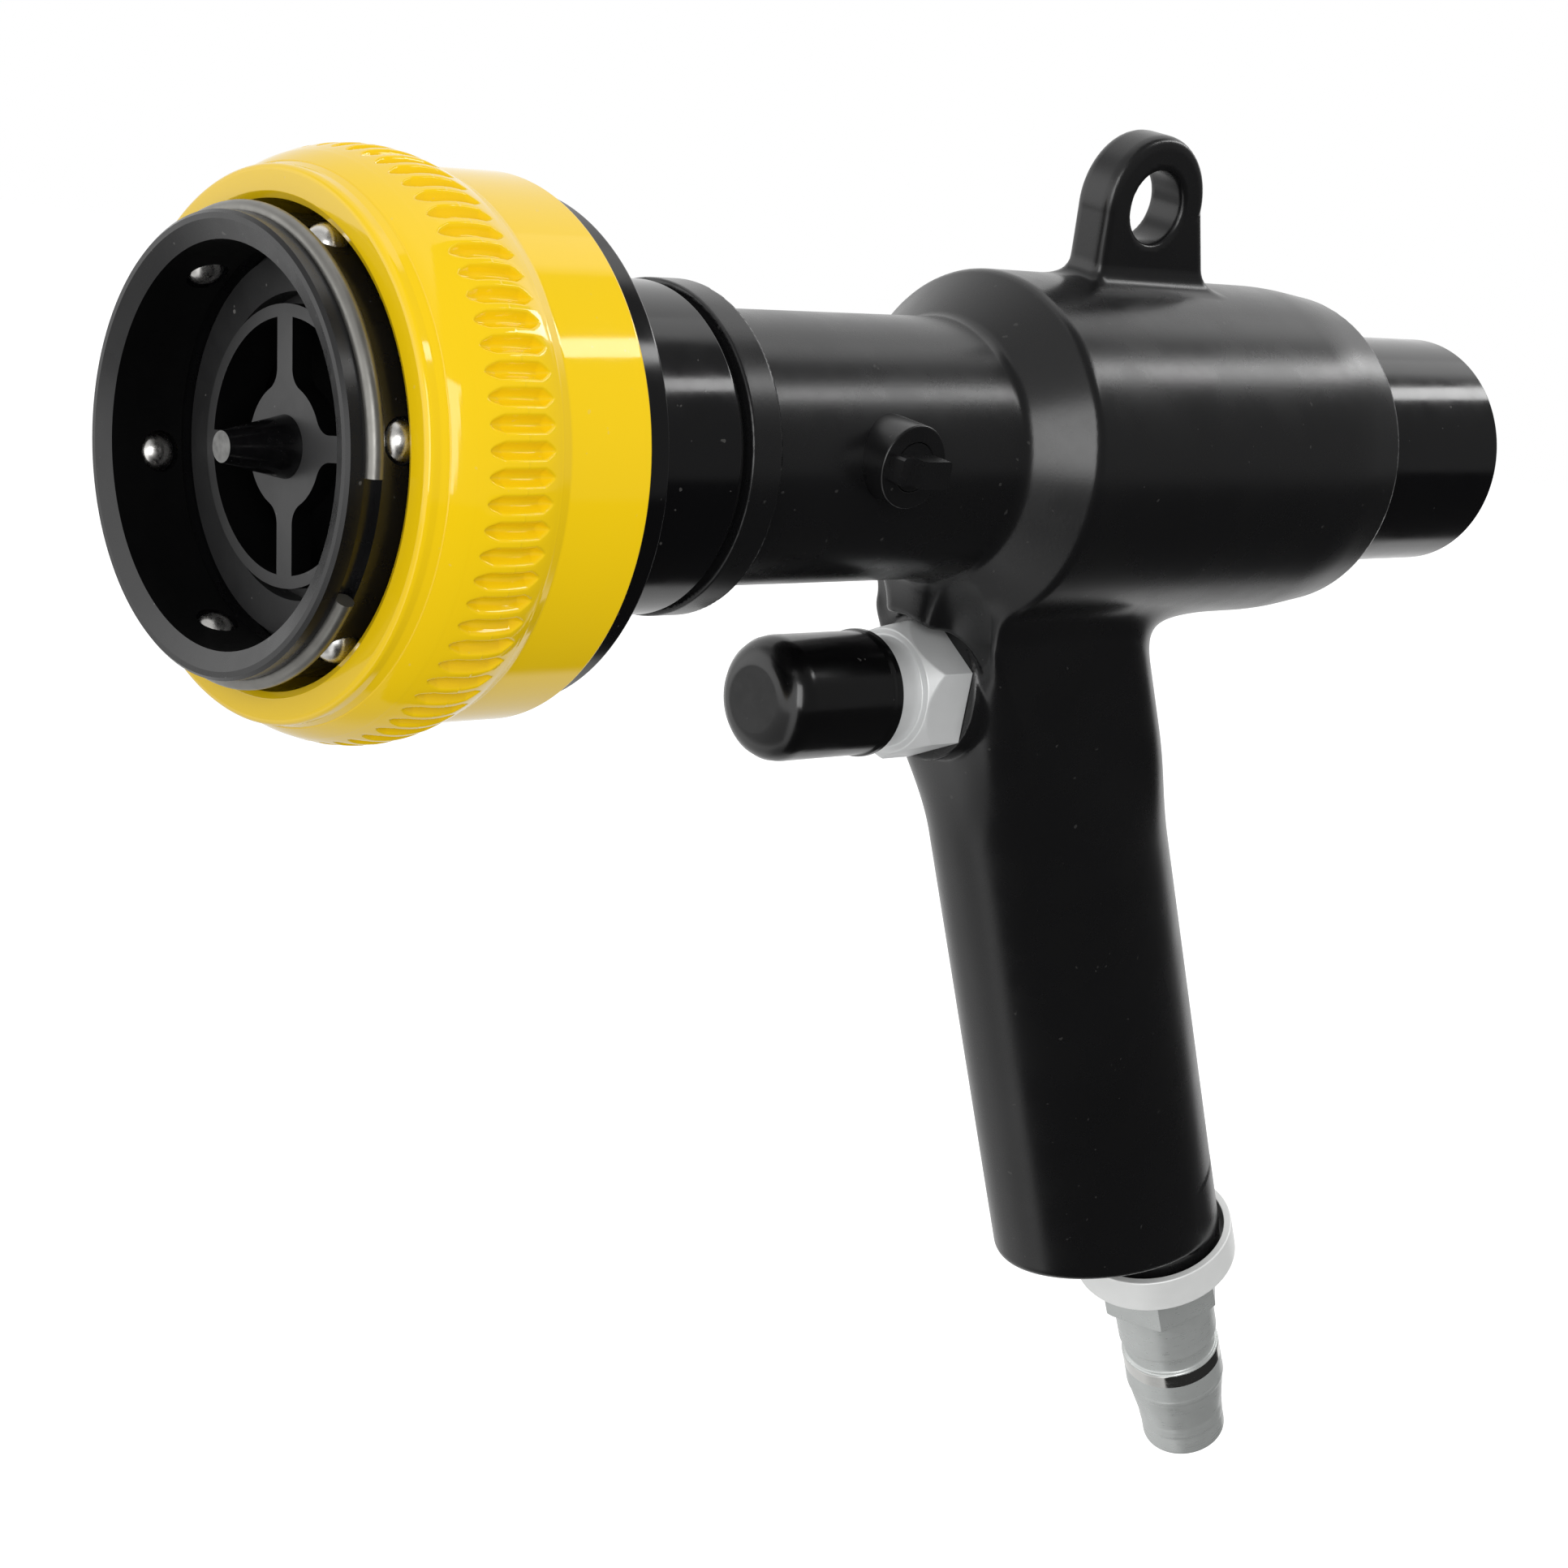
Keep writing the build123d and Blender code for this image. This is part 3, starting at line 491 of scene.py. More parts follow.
def rounded_outline(outline, steps=5, spacing=3.0, margin=0.25):
    """Outline of (x, radius, rounding) corners as closely spaced points with normals."""
    corners = [np.array(corner[:2], float) for corner in outline]
    is_open = outline[0][1] == 0 and outline[-1][1] == 0
    area = sum(a[0] * b[1] - b[0] * a[1] for a, b in zip(corners, corners[1:] + corners[:1]))
    if area > 0:
        corners.reverse()
        outline = outline[::-1]
    points, normals = [], []
    count = len(corners)
    for number, corner in enumerate(corners):
        if is_open and number in (0, count - 1):
            other = corners[1] if number == 0 else corners[-2]
            way = (other - corner) if number == 0 else (corner - other)
            way = way / np.linalg.norm(way)
            points.append(corner)
            normals.append(np.array([-way[1], way[0]]))
            continue
        before, after = corners[number - 1], corners[(number + 1) % count]
        radius = max(outline[number][2], SHARPEST_CORNER_R)
        arc_points, arc_normals = corner_arc(before, corner, after, radius, steps)
        points += arc_points
        normals += arc_normals
    filled_points, filled_normals = [], []
    last = len(points) - 1 if is_open else len(points)
    for number in range(last):
        following = (number + 1) % len(points)
        here, there = points[number], points[following]
        length = np.linalg.norm(there - here)
        is_straight = np.allclose(normals[number], normals[following], atol=1e-3)
        filled_points.append(here)
        filled_normals.append(normals[number])
        if length > 3 * margin and is_straight:
            inner = max(1, int(round((length - 2 * margin) / spacing)))
            for part in np.linspace(margin / length, 1 - margin / length, inner + 1):
                filled_points.append(here + (there - here) * part)
                filled_normals.append(normals[number])
    if is_open:
        filled_points.append(points[-1])
        filled_normals.append(normals[-1])
    return np.array(filled_points), np.array(filled_normals), is_open


def winds_inward(corners, normal):
    """Whether a face's first three corners turn the wrong way round its outward normal."""
    return np.cross(corners[1] - corners[0], corners[2] - corners[0]) @ normal < 0


def add_object(name, data):
    """Object in the scene for a mesh, lamp or camera."""
    item = bpy.data.objects.new(name, data)
    bpy.context.scene.collection.objects.link(item)
    return item


def new_object(name, points, faces, normals, materials, place, face_slots=None):
    """Mesh object with its own smooth normals, turned and placed in metres."""
    turn = np.array(place.to_3x3())
    mesh = bpy.data.meshes.new(name)
    mesh.from_pydata((np.asarray(points) @ turn.T * MM).tolist(), [], faces)
    mesh.polygons.foreach_set("use_smooth", [True] * len(mesh.polygons))
    for material in materials:
        mesh.materials.append(material)
    if face_slots is not None:
        mesh.polygons.foreach_set("material_index", face_slots)
    mesh.update()
    if normals is not None:
        normals = (np.asarray(normals) @ turn.T).tolist()
        if len(normals) == len(mesh.vertices):
            mesh.normals_split_custom_set_from_vertices(normals)
        else:
            mesh.normals_split_custom_set(normals)
    piece = add_object(name, mesh)
    piece.location = place.translation
    return piece


def along_x(z=0.0):
    """Placement with the local X axis parallel to the barrel, z millimetres above it."""
    return Matrix.Translation(Vector(MOUTH + np.array([0.0, 0.0, z * MM])))


def out_of_port():
    """Placement with the local X axis pointing out of the side port."""
    origin = MOUTH + np.array([PORT_X, 0.0, PORT_Z]) * MM
    turn = Matrix(((0.0, -1.0, 0.0), (1.0, 0.0, 0.0), (0.0, 0.0, 1.0))).transposed().to_4x4()
    return Matrix.Translation(Vector(origin)) @ turn


def down_inlet():
    """Placement with the local X axis down the inlet."""
    origin = MOUTH + np.array([INLET_X * MM, 0.0, 0.0])
    side = np.array([0.0, 1.0, 0.0])
    third = np.cross(INLET_AXIS, side)
    turn = Matrix((INLET_AXIS, side, third)).transposed().to_4x4()
    return Matrix.Translation(Vector(origin)) @ turn


def sweep_round(profile, profile_normals, is_open, segments, carve=None):
    """Points, normals and faces of a profile turned about the local X axis."""
    rows = len(profile)
    angles = np.linspace(0, 2 * math.pi, segments, endpoint=False)
    out = np.stack([np.zeros_like(angles), -np.cos(angles), np.sin(angles)], 1)[None]
    forward = np.array([1.0, 0.0, 0.0])
    points = profile[:, None, 1, None] * out + profile[:, None, 0, None] * forward
    normals = profile_normals[:, None, 1, None] * out + profile_normals[:, None, 0, None] * forward
    if carve is not None:
        points = carve(points, angles)
    faces = []
    last = rows - 1 if is_open else rows
    for row in range(last):
        after = (row + 1) % rows
        for column in range(segments):
            following = (column + 1) % segments
            face = (row * segments + column, after * segments + column,
                    after * segments + following, row * segments + following)
            if is_open and row == 0:
                face = (0, face[1], face[2])
            elif is_open and after == rows - 1:
                face = (face[0], after * segments, face[3])
            faces.append(face)
    return points.reshape(-1, 3), normals.reshape(-1, 3), faces


def turn_piece(name, outline, material, place, body="gun", node=None, segments=160, painted_shade_bore=None):
    """Turned piece from an outline of (x, radius, rounding) corners.

    A bore given as an x and a radius gets a darker, duller black up to that x, at radii under that radius:
    painted shade.
    """
    profile, profile_normals, is_open = rounded_outline(outline)
    points, normals, faces = sweep_round(profile, profile_normals, is_open, segments)
    if is_open:
        used = sorted({corner for face in faces for corner in face})
        renumber = {old: new for new, old in enumerate(used)}
        points, normals = points[used], normals[used]
        faces = [tuple(renumber[corner] for corner in face) for face in faces]
    materials = [material]
    slots = np.zeros(len(faces), int)
    # Faces inside the bore get the darker black as painted shade.
    if painted_shade_bore:
        materials.append(PAINTED_SHADE_BLACK)
        centres = np.array([points[list(face)].mean(0) for face in faces])
        slots[(centres[:, 0] < painted_shade_bore[0]) & (np.hypot(centres[:, 1], centres[:, 2]) < painted_shade_bore[1])] = 1
    face = faces[len(faces) // 2]
    if winds_inward(points[list(face)], normals[face[0]]):
        faces = [face[::-1] for face in faces]
    piece = new_object(name, points, faces, normals, materials, place, slots.tolist())
    finish_piece(piece, body, node)


def finish_piece(piece, body, node):
    """Tie a piece to its body and hide the CAD node it stands for."""
    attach(piece, body)
    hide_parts(node)

# --- Solid pieces from a distance field ---

LAYERS_AT_ONCE = 24
CROSSING_REACH = 0.04
SETTLE_REACH = 0.03
NORMAL_REACH = 0.05
CORNER_INSET = 0.22
MEAN_PULL = 0.05
LONGEST_PULL = 0.7
LONGEST_SETTLE = 0.3
SETTLE_ROUNDS = 3


def join(first, second, blend):
    """Smooth union of two distance fields."""
    part = np.clip(0.5 + 0.5 * (second - first) / blend, 0, 1)
    return second + (first - second) * part - blend * part * (1 - part)


def meet(first, second, blend):
    """Smooth intersection."""
    return -join(-first, -second, blend)


def cut(solid, tool, blend):
    """Smooth difference."""
    return meet(solid, -tool, blend)


def step_up(value, low, high):
    """Smooth step from 0 at low to 1 at high."""
    part = np.clip((value - low) / (high - low), 0, 1)
    return part * part * (3 - 2 * part)


def slab(value, low, high):
    """Distance to the layer between two values."""
    return np.abs(value - (low + high) / 2) - (high - low) / 2


def rod(x, r, start, end, radius, edge=0.3):
    """Round bar along X."""
    return meet(slab(x, start, end), r - radius, edge)


def cone(x, r, at_x, at_r, fall):
    """Distance to a cone about X through one spot; its radius falls by that much per millimetre."""
    return (r - at_r + (x - at_x) * fall) / math.hypot(1, fall)


def slope(shape, spots, reach):
    """Gradient of a distance field at some points."""
    parts = []
    for side in range(3):
        move = np.zeros(3)
        move[side] = reach
        parts.append((shape(*(spots + move).T) - shape(*(spots - move).T)) / (2 * reach))
    return np.stack(parts, 1)


def unit(vectors):
    return vectors / np.maximum(np.linalg.norm(vectors, axis=-1, keepdims=True), 1e-9)


def shorten(moves, longest):
    """Moves with none longer than a limit."""
    length = np.linalg.norm(moves, axis=1, keepdims=True)
    return moves * np.minimum(1, longest / np.maximum(length, 1e-9))


def sample_grid(shape, low, high, step):
    """Distance field on a grid, worked out some layers at a time to save memory."""
    counts = [int(math.ceil((b - a) / step)) + 1 for a, b in zip(low, high)]
    x, y, z = [a + step * np.arange(n) for a, n in zip(low, counts)]
    field = np.empty(counts, np.float32)
    for start in range(0, counts[2], LAYERS_AT_ONCE):
        end = start + LAYERS_AT_ONCE
        field[:, :, start:end] = shape(x[:, None, None], y[None, :, None], z[None, None, start:end])
    return field


def crossings(field):
    """Where the field changes sign along grid edges, with the four cells round each edge."""
    inside = field < 0
    strides = np.array([field.shape[1] * field.shape[2], field.shape[2], 1])
    spots, rings = [], []
    for axis in range(3):
        near = tuple(slice(None, -1) if side == axis else slice(None) for side in range(3))
        far = tuple(slice(1, None) if side == axis else slice(None) for side in range(3))
        spot = np.argwhere(inside[near] != inside[far])
        first = field[near][tuple(spot.T)]
        second = field[far][tuple(spot.T)]
        starts_inside = inside[near][tuple(spot.T)]
        position = spot.astype(float)
        position[:, axis] += first / (first - second)
        ring = []
        for move_one, move_two in ((0, 0), (1, 0), (1, 1), (0, 1)):
            cell = spot.copy()
            cell[:, (axis + 1) % 3] -= move_one
            cell[:, (axis + 2) % 3] -= move_two
            ring.append(cell @ strides)
        ring = np.stack(ring, 1)
        ring[starts_inside] = ring[starts_inside][:, ::-1]
        spots.append(position)
        rings.append(ring)
    return np.concatenate(spots), np.concatenate(rings)


def grid_net(shape, low, high, step):
    """Quad mesh of the surface where shape is zero, with crisp edges, and its corner normals."""
    spots, rings = crossings(sample_grid(shape, low, high, step))
    spots = spots * step + np.array(low)
    tilts = unit(slope(shape, spots, CROSSING_REACH))
    _, owner = np.unique(rings, return_inverse=True)
    owner = owner.reshape(-1, 4)
    flat = owner.ravel()
    count = np.bincount(flat)

    def gather(values):
        return np.bincount(flat, values.ravel(), len(count))

    sums = [gather(np.repeat(spots[:, side], 4)) for side in range(3)]
    mean = np.stack(sums, 1) / count[:, None]
    offset = ((spots[:, None, :] - mean[owner]) * tilts[:, None, :]).sum(2)
    matrix = np.zeros((len(count), 3, 3))
    target = np.zeros((len(count), 3))
    for one in range(3):
        target[:, one] = gather(tilts[:, one, None] * offset)
        for two in range(3):
            matrix[:, one, two] = gather(np.repeat(tilts[:, one] * tilts[:, two], 4))
        matrix[:, one, one] += MEAN_PULL * count
    points = mean + shorten(np.linalg.solve(matrix, target[:, :, None])[:, :, 0], LONGEST_PULL * step)
    fixed = points.copy()
    for _ in range(SETTLE_ROUNDS):
        tilt = slope(shape, points, SETTLE_REACH)
        size = np.maximum((tilt ** 2).sum(1), 0.25)
        move = points - tilt * (shape(*points.T) / size)[:, None] - fixed
        points = fixed + shorten(move, LONGEST_SETTLE * step)
    corners = points[owner]
    nudged = corners + CORNER_INSET * (corners.mean(1, keepdims=True) - corners)
    normals = unit(slope(shape, nudged.reshape(-1, 3), NORMAL_REACH))
    return points, owner, normals.reshape(-1, 4, 3)


def net_piece(name, shape, low, high, step, material, place, node):
    """Piece of the gun from a distance field between two corners."""
    points, faces, normals = grid_net(shape, low, high, step)
    if winds_inward(points[faces[0]], normals[0, 0]):
        faces, normals = faces[:, ::-1], normals[:, ::-1]
    piece = new_object(name, points, faces.tolist(), normals.reshape(-1, 3), [material], place)
    finish_piece(piece, "gun", node)
    return piece


def round_box(start, end, r):
    """Low and high corner of the space round a part of the X axis."""
    return (start, -r, -r), (end, r, r)

# --- Gun body ---


def grip_shape(x, y, z):
    """Grip column: a flat-sided slab at the top that turns into a leaning ellipse."""
    drop = -z
    front = GRIP_FRONT_X + GRIP_FRONT_LEAN * (drop - GRIP_FRONT_DROP)
    stop = GRIP_STOP_X + GRIP_STOP_STEP * step_up(drop, *GRIP_STOP_DROPS)
    front = meet(front, stop, blend=1.2)
    flat = 1 - step_up(drop, *GRIP_FLAT_DROPS)
    rear = GRIP_REAR_X + GRIP_REAR_LEAN * (drop - GRIP_REAR_DROP) - GRIP_REAR_HOLLOW * flat
    half = (rear - front) / 2
    from_centre = x - (rear + front) / 2
    half_width = GRIP_HALF_WIDTH + GRIP_WIDTH_GAIN * (drop - GRIP_WIDTH_DROP)
    front_round = GRIP_FRONT_ROUND + GRIP_FRONT_ROUND_GAIN * step_up(drop, *GRIP_FRONT_ROUND_DROPS)
    rounding = np.where(from_centre < 0, front_round, GRIP_REAR_ROUND)
    over_x = np.abs(from_centre) - half + rounding
    over_y = np.abs(y) - half_width + rounding
    corner = np.hypot(np.maximum(over_x, 0), np.maximum(over_y, 0))
    box = corner + np.minimum(np.maximum(over_x, over_y), 0) - rounding
    scaled = np.hypot(from_centre / half, y / half_width)
    pull = np.hypot(from_centre / half ** 2, y / half_width ** 2)
    ellipse = scaled * (scaled - 1) / np.maximum(pull, 1e-4)
    return ellipse + (box - ellipse) * flat


def barrel_shape(x, r):
    """Barrel with its front flange, and the shoulder and drum behind it."""
    flange = rod(x, r, BODY_FRONT_X, BODY_FLANGE_END_X, BODY_FLANGE_R, edge=0.4)
    barrel = meet(slab(x, *BARREL_X), r - BARREL_R, blend=0.2)
    barrel = join(flange, barrel, blend=1.7)
    rise = (BODY_R - BARREL_R) / (SHOULDER_END_X - SHOULDER_X)
    draft = (BODY_R - BODY_DRAFT_R) / (BODY_DRAFT_X - SHOULDER_END_X)
    fall = (BODY_DRAFT_R - BODY_END_R) / (BODY_END_X - BODY_DRAFT_X)
    drum = r - BODY_R + draft * (x - SHOULDER_END_X)
    drum = meet(drum, cone(x, r, BODY_DRAFT_X, BODY_DRAFT_R, fall), blend=0.3)
    drum = meet(drum, x - BODY_END_X, blend=0.7)
    drum = meet(drum, cone(x, r, SHOULDER_X, BARREL_R, -rise), blend=0.5)
    drum = meet(drum, DRUM_X - x, blend=0.2)
    return join(barrel, drum, blend=0.6)


def lug_shape(x, y, z):
    """Hanging eye: a round top on a flared stem."""
    from_eye = np.hypot(x - LUG_X, z - LUG_Z)
    drop = LUG_Z - LUG_FOOT_Z
    left_lean = (LUG_X - LUG_R - (LUG_FOOT_X - LUG_FOOT_HALF_LENGTH)) / drop
    right_lean = (LUG_FOOT_X + LUG_FOOT_HALF_LENGTH - LUG_X - LUG_R) / drop
    left = (LUG_X - LUG_R - left_lean * (LUG_Z - z) - x) / math.hypot(1, left_lean)
    right = (x - LUG_X - LUG_R - right_lean * (LUG_Z - z)) / math.hypot(1, right_lean)
    stem = np.maximum(np.maximum(left, right), np.maximum(z - LUG_Z, LUG_ROOT_Z - z))
    plate = np.minimum(from_eye - LUG_R, stem)
    plate = meet(plate, np.abs(y) - LUG_HALF_WIDTH, blend=1.3)
    return cut(plate, from_eye - LUG_HOLE_R, blend=0.7)


def body_shape(x, y, z):
    """Distance field of the moulded body."""
    r = np.hypot(y, z)
    valve_r = np.hypot(y, z - VALVE_Z)
    port_r = np.hypot(x - PORT_X, z - PORT_Z)
    inlet_s = (x - INLET_X) * INLET_AXIS[0] + z * INLET_AXIS[2]
    inlet_r = np.hypot(y, (x - INLET_X) * INLET_AXIS[2] - z * INLET_AXIS[0])
    body = barrel_shape(x, r)

    web = meet(slab(x, *WEB_X), slab(z, *WEB_Z), blend=0.3)
    web = meet(web, np.abs(y) - WEB_HALF_WIDTH, blend=1.6)
    body = join(body, web, blend=4.0)

    foot = INLET_AXIS * GRIP_CUT_S
    below = (x - INLET_X - foot[0]) * math.sin(GRIP_CUT_TILT) - (z - foot[2]) * math.cos(GRIP_CUT_TILT)
    grip = meet(grip_shape(x, y, z), z - GRIP_TOP_Z, blend=0.3)
    grip = meet(grip, below, blend=1.5)
    root = GRIP_FRONT_BLEND + (GRIP_REAR_BLEND - GRIP_FRONT_BLEND) * step_up(x, *GRIP_BLEND_X)
    body = join(body, grip, blend=root)

    body = cut(body, rod(x, valve_r, CAP_POCKET_X, VALVE_BOSS_X[0], CAP_POCKET_R, edge=0.2), blend=0.8)
    body = join(body, rod(x, valve_r, *VALVE_BOSS_X, VALVE_BOSS_R, edge=0.5), blend=0.5)
    body = join(body, lug_shape(x, y, z), blend=2.2)
    body = join(body, rod(inlet_s, inlet_r, *INLET_BOSS_S, INLET_BOSS_R, edge=0.4), blend=0.5)

    body = cut(body, np.where(x < SHOULDER_END_X, r - AIR_BORE_R, r - REAR_BORE_R), blend=0.4)
    body = cut(body, meet(x - TAIL_SOCKET_END_X, r - TAIL_SOCKET_R, blend=0.1), blend=0.3)
    body = cut(body, rod(x, valve_r, *VALVE_BORE_X, VALVE_BORE_R, edge=0.2), blend=0.3)
    body = cut(body, rod(inlet_s, inlet_r, *INLET_BORE_S, INLET_BORE_R, edge=0.2), blend=0.3)
    return cut(body, meet(port_r - PORT_BORE_R, y - PORT_BORE_Y, blend=0.1), blend=0.2)


def make_gun_body():
    low, high = box_of("gun_body")
    margin = 1.5
    low = (low - MOUTH) / MM - margin
    high = (high - MOUTH) / MM + margin
    step = 0.42
    net_piece("gun_body_moulding", body_shape, low, high, step, NYLON, along_x(), "gun_body")


make_gun_body()
turn_piece(
    "port_boss",
    [
        (PORT_BOSS_OUT[0], PORT_BORE_R, 0.05), (PORT_BOSS_OUT[0], PORT_BOSS_R, 0.05),
        (PORT_BOSS_OUT[1], PORT_BOSS_R, 0.22), (PORT_BOSS_OUT[1], PORT_BORE_R, 0.12),
    ],
    NYLON, out_of_port(), node="gun_body",
)

# --- Collar ---


def arc_through(first, middle_point, last, steps):
    """Points of the arc that starts at first, passes through the middle point and ends at last."""
    ax, ay = first
    bx, by = middle_point
    cx, cy = last
    twice_area = 2 * (ax * (by - cy) + bx * (cy - ay) + cx * (ay - by))
    squares = (ax**2 + ay**2, bx**2 + by**2, cx**2 + cy**2)
    centre_x = (squares[0] * (by - cy) + squares[1] * (cy - ay) + squares[2] * (ay - by)) / twice_area
    centre_y = (squares[0] * (cx - bx) + squares[1] * (ax - cx) + squares[2] * (bx - ax)) / twice_area
    radius = math.hypot(ax - centre_x, ay - centre_y)
    start = math.atan2(ay - centre_y, ax - centre_x)
    finish = math.atan2(cy - centre_y, cx - centre_x)
    turns = [start + (finish - start) * number / steps for number in range(steps + 1)]
    return [(centre_x + radius * math.cos(turn), centre_y + radius * math.sin(turn)) for turn in turns]


def collar_profile():
    """Closed outline of the collar as (x, radius, rounding) corners."""
    dome = arc_through(COLLAR_WAIST, COLLAR_DOME_TOP, COLLAR_DOME_END, COLLAR_DOME_STEPS)
    lip = [
        (COLLAR_LIP_X, COLLAR_LIP_BORE_R, 0.2), (COLLAR_LIP_X, COLLAR_CREST_R, 1.05),
        (COLLAR_CREST_X, COLLAR_CREST_R, 0.5), (COLLAR_WAIST[0] - 0.05, COLLAR_WAIST[1] - 0.1, 0.2),
    ]
    sleeve = [
        (COLLAR_FOOT_X, COLLAR_SLEEVE_R, 0.8), (COLLAR_END_X, COLLAR_SLEEVE_R, 0.35),
        (COLLAR_END_X, COLLAR_REAR_BORE_R, 0.2), (COLLAR_WEB_END_X, COLLAR_REAR_BORE_R, 0.2),
        (COLLAR_WEB_END_X, COLLAR_LAND_R, 0.2), (COLLAR_LAND_X, COLLAR_LAND_R, 0.3),
        (COLLAR_RAMP_X, COLLAR_RAMP_R, 0.1),
    ]
    return lip + [(x, r, 0.01) for x, r in dome] + sleeve


def carve_grooves(points, angles):
    """Points of the collar with the hand grooves cut into the dome, each rounded off at both ends."""
    x = points[:, :, 0]
    r = np.hypot(points[:, :, 1], points[:, :, 2])
    pitch = 2 * math.pi / GROOVE_COUNT
    phase = ((angles / pitch + 0.5) % 1.0 - 0.5)[None, :]
    outside = (r > GROOVED_R) & (x > GROOVED_X[0]) & (x < GROOVED_X[1])
    entry = np.clip((x - GROOVE_START_X) / GROOVE_RUN_IN, 0, 1) ** 0.5
    leave = np.clip((GROOVE_END_X - x) / GROOVE_RUN_OUT, 0, 1) ** 0.8
    fullness = entry * leave
    half = GROOVE_HALF_SHARE * fullness + 1e-6
    across = np.clip(1 - (phase / half) ** 2, 0, 1)
    depth = GROOVE_DEPTH * across ** 1.15 * fullness * outside
    crown = CROWN_HEIGHT * np.cos(2 * math.pi * (phase + 0.5)) * outside
    crown = crown * step_up(x, *CROWN_RUN_IN) * (1 - step_up(x, *CROWN_RUN_OUT))
    seam = SEAM_HEIGHT * np.exp(-(((x - SEAM_X) / SEAM_WIDTH) ** 2)) * (depth < 0.1)
    shift = (crown + seam - depth - CROWN_DROP) * outside
    out = points.copy()
    out[:, :, 0] = 0
    return points + unit(out) * shift[:, :, None]


def refine_dome(profile, profile_normals):
    """Profile with its points closer together where the grooves are."""
    fine = []
    fine_normals = []
    for number, point in enumerate(profile):
        step = profile[(number + 1) % len(profile)] - point
        gap = np.linalg.norm(step)
        is_grooved = point[1] > GROOVED_R and GROOVED_FINE_X[0] < point[0] < GROOVED_FINE_X[1]
        parts = max(1, math.ceil(gap / GROOVED_SPACING)) if is_grooved else 1
        for part in range(parts):
            fine.append(point + step * part / parts)
            fine_normals.append(profile_normals[number])
    return np.array(fine), np.array(fine_normals)


def make_collar():
    profile, profile_normals, _ = rounded_outline(collar_profile(), steps=4, spacing=1.5)
    profile, profile_normals = refine_dome(profile, profile_normals)
    segments = GROOVE_COUNT * 18
    points, normals, faces = sweep_round(profile, profile_normals, False, segments, carve_grooves)
    if winds_inward(points[list(faces[0])], normals[faces[0][0]]):
        faces = [face[::-1] for face in faces]
    piece = new_object("collar_shell", points, faces, None, [YELLOW], along_x())
    mesh = piece.data
    grooved_normals = np.empty(len(mesh.vertices) * 3, np.float32)
    mesh.vertex_normals.foreach_get("vector", grooved_normals)
    grooved_normals = grooved_normals.reshape(-1, 3)
    r = np.hypot(points[:, 1], points[:, 2])
    in_band = (points[:, 0] > GROOVED_SMOOTH_X[0]) & (points[:, 0] < GROOVED_SMOOTH_X[1])
    in_band &= r > GROOVED_SMOOTH_R
    merged = np.where(in_band[:, None], grooved_normals, normals)
    mesh.normals_split_custom_set_from_vertices(merged.tolist())
    finish_piece(piece, "collar", "locking_collar")


make_collar()

# --- Turned parts ---

turn_piece(
    "neck_tube",
    [
        (SPIGOT_X, SPIGOT_MOUTH_R, 0.1), (SPIGOT_X, SPIGOT_R, 0.1), (FLANGE_X, SPIGOT_R, 0.1),
        (FLANGE_X, FLANGE_R, 0.2), (FLANGE_END_X, FLANGE_R, 0.35), (FLANGE_END_X, NECK_R, 0.35),
        (NECK_END_X, NECK_R, 0.3), (NECK_END_X, NECK_TAIL_R, 0.1), (NECK_TAIL_END_X, NECK_TAIL_R, 0.1),
        (NECK_TAIL_END_X, AIR_BORE_R, 0.1), (SPIGOT_CONE_END_X, AIR_BORE_R, 0.5),
    ],
    GLOSS_BLACK, along_x(), node="neck_adapter", painted_shade_bore=NECK_PAINTED_SHADE_LIMIT,
)
turn_piece(
    "sleeve_tube",
    [
        (SLEEVE_FRONT_X, AIR_BORE_R, 0.1), (SLEEVE_FRONT_X, SLEEVE_R, 0.1),
        (SLEEVE_GROOVE_X[0], SLEEVE_R, 0.05), (SLEEVE_GROOVE_X[0], SLEEVE_GROOVE_R, 0.05),
        (SLEEVE_GROOVE_X[1], SLEEVE_GROOVE_R, 0.05), (SLEEVE_GROOVE_X[1], SLEEVE_R, 0.05),
        (BODY_END_X, SLEEVE_R, 0.2), (SLEEVE_END_X, SLEEVE_END_R, 0.6), (SLEEVE_END_X, SLEEVE_MOUTH_R, 0.3),
        (SLEEVE_MOUTH_X, AIR_BORE_R, 0.3),
    ],
    GLOSS_BLACK, along_x(), node="intake_sleeve", painted_shade_bore=SLEEVE_PAINTED_SHADE_LIMIT,
)
turn_piece(
    "cap_soft",
    [
        (CAP_FRONT_X, 0.0, 0.0), (CAP_FRONT_X, CAP_R, 3.1), (CAP_BEAD_X[0], CAP_R, 0.5),
        (CAP_BEAD_X[1], CAP_BEAD_R, 0.35), (CAP_END_X, CAP_BEAD_R, 0.3), (CAP_END_X, CAP_BORE_R, 0.15),
        (CAP_FLOOR_X, CAP_BORE_R, 0.4), (CAP_FLOOR_X, 0.0, 0.0),
    ],
    VINYL, along_x(VALVE_Z), body="button", node="button_cap",
)
turn_piece(
    "ferrule_cup",
    [
        (FERRULE_S, FERRULE_BORE_R, 0.1), (FERRULE_S, FERRULE_R, 0.2), (FERRULE_END_S, FERRULE_R, 0.3),
        (FERRULE_END_S, INLET_BORE_R, 0.1), (FERRULE_FLOOR_S, INLET_BORE_R, 0.1),
        (FERRULE_FLOOR_S, FERRULE_BORE_R, 0.3),
    ],
    FERRULE_ALUMINIUM, down_inlet(), node="grip_ferrule",
)

# --- Hexagonal parts ---


def hexagon(across, along, half_flats, turn=0.0):
    """Distance to a hexagonal prism, turned by some degrees about its axis."""
    sides = [math.radians(turn + 60 * number) for number in range(3)]
    reach = [np.abs(across * math.cos(side) + along * math.sin(side)) for side in sides]
    return np.maximum.reduce(reach) - half_flats


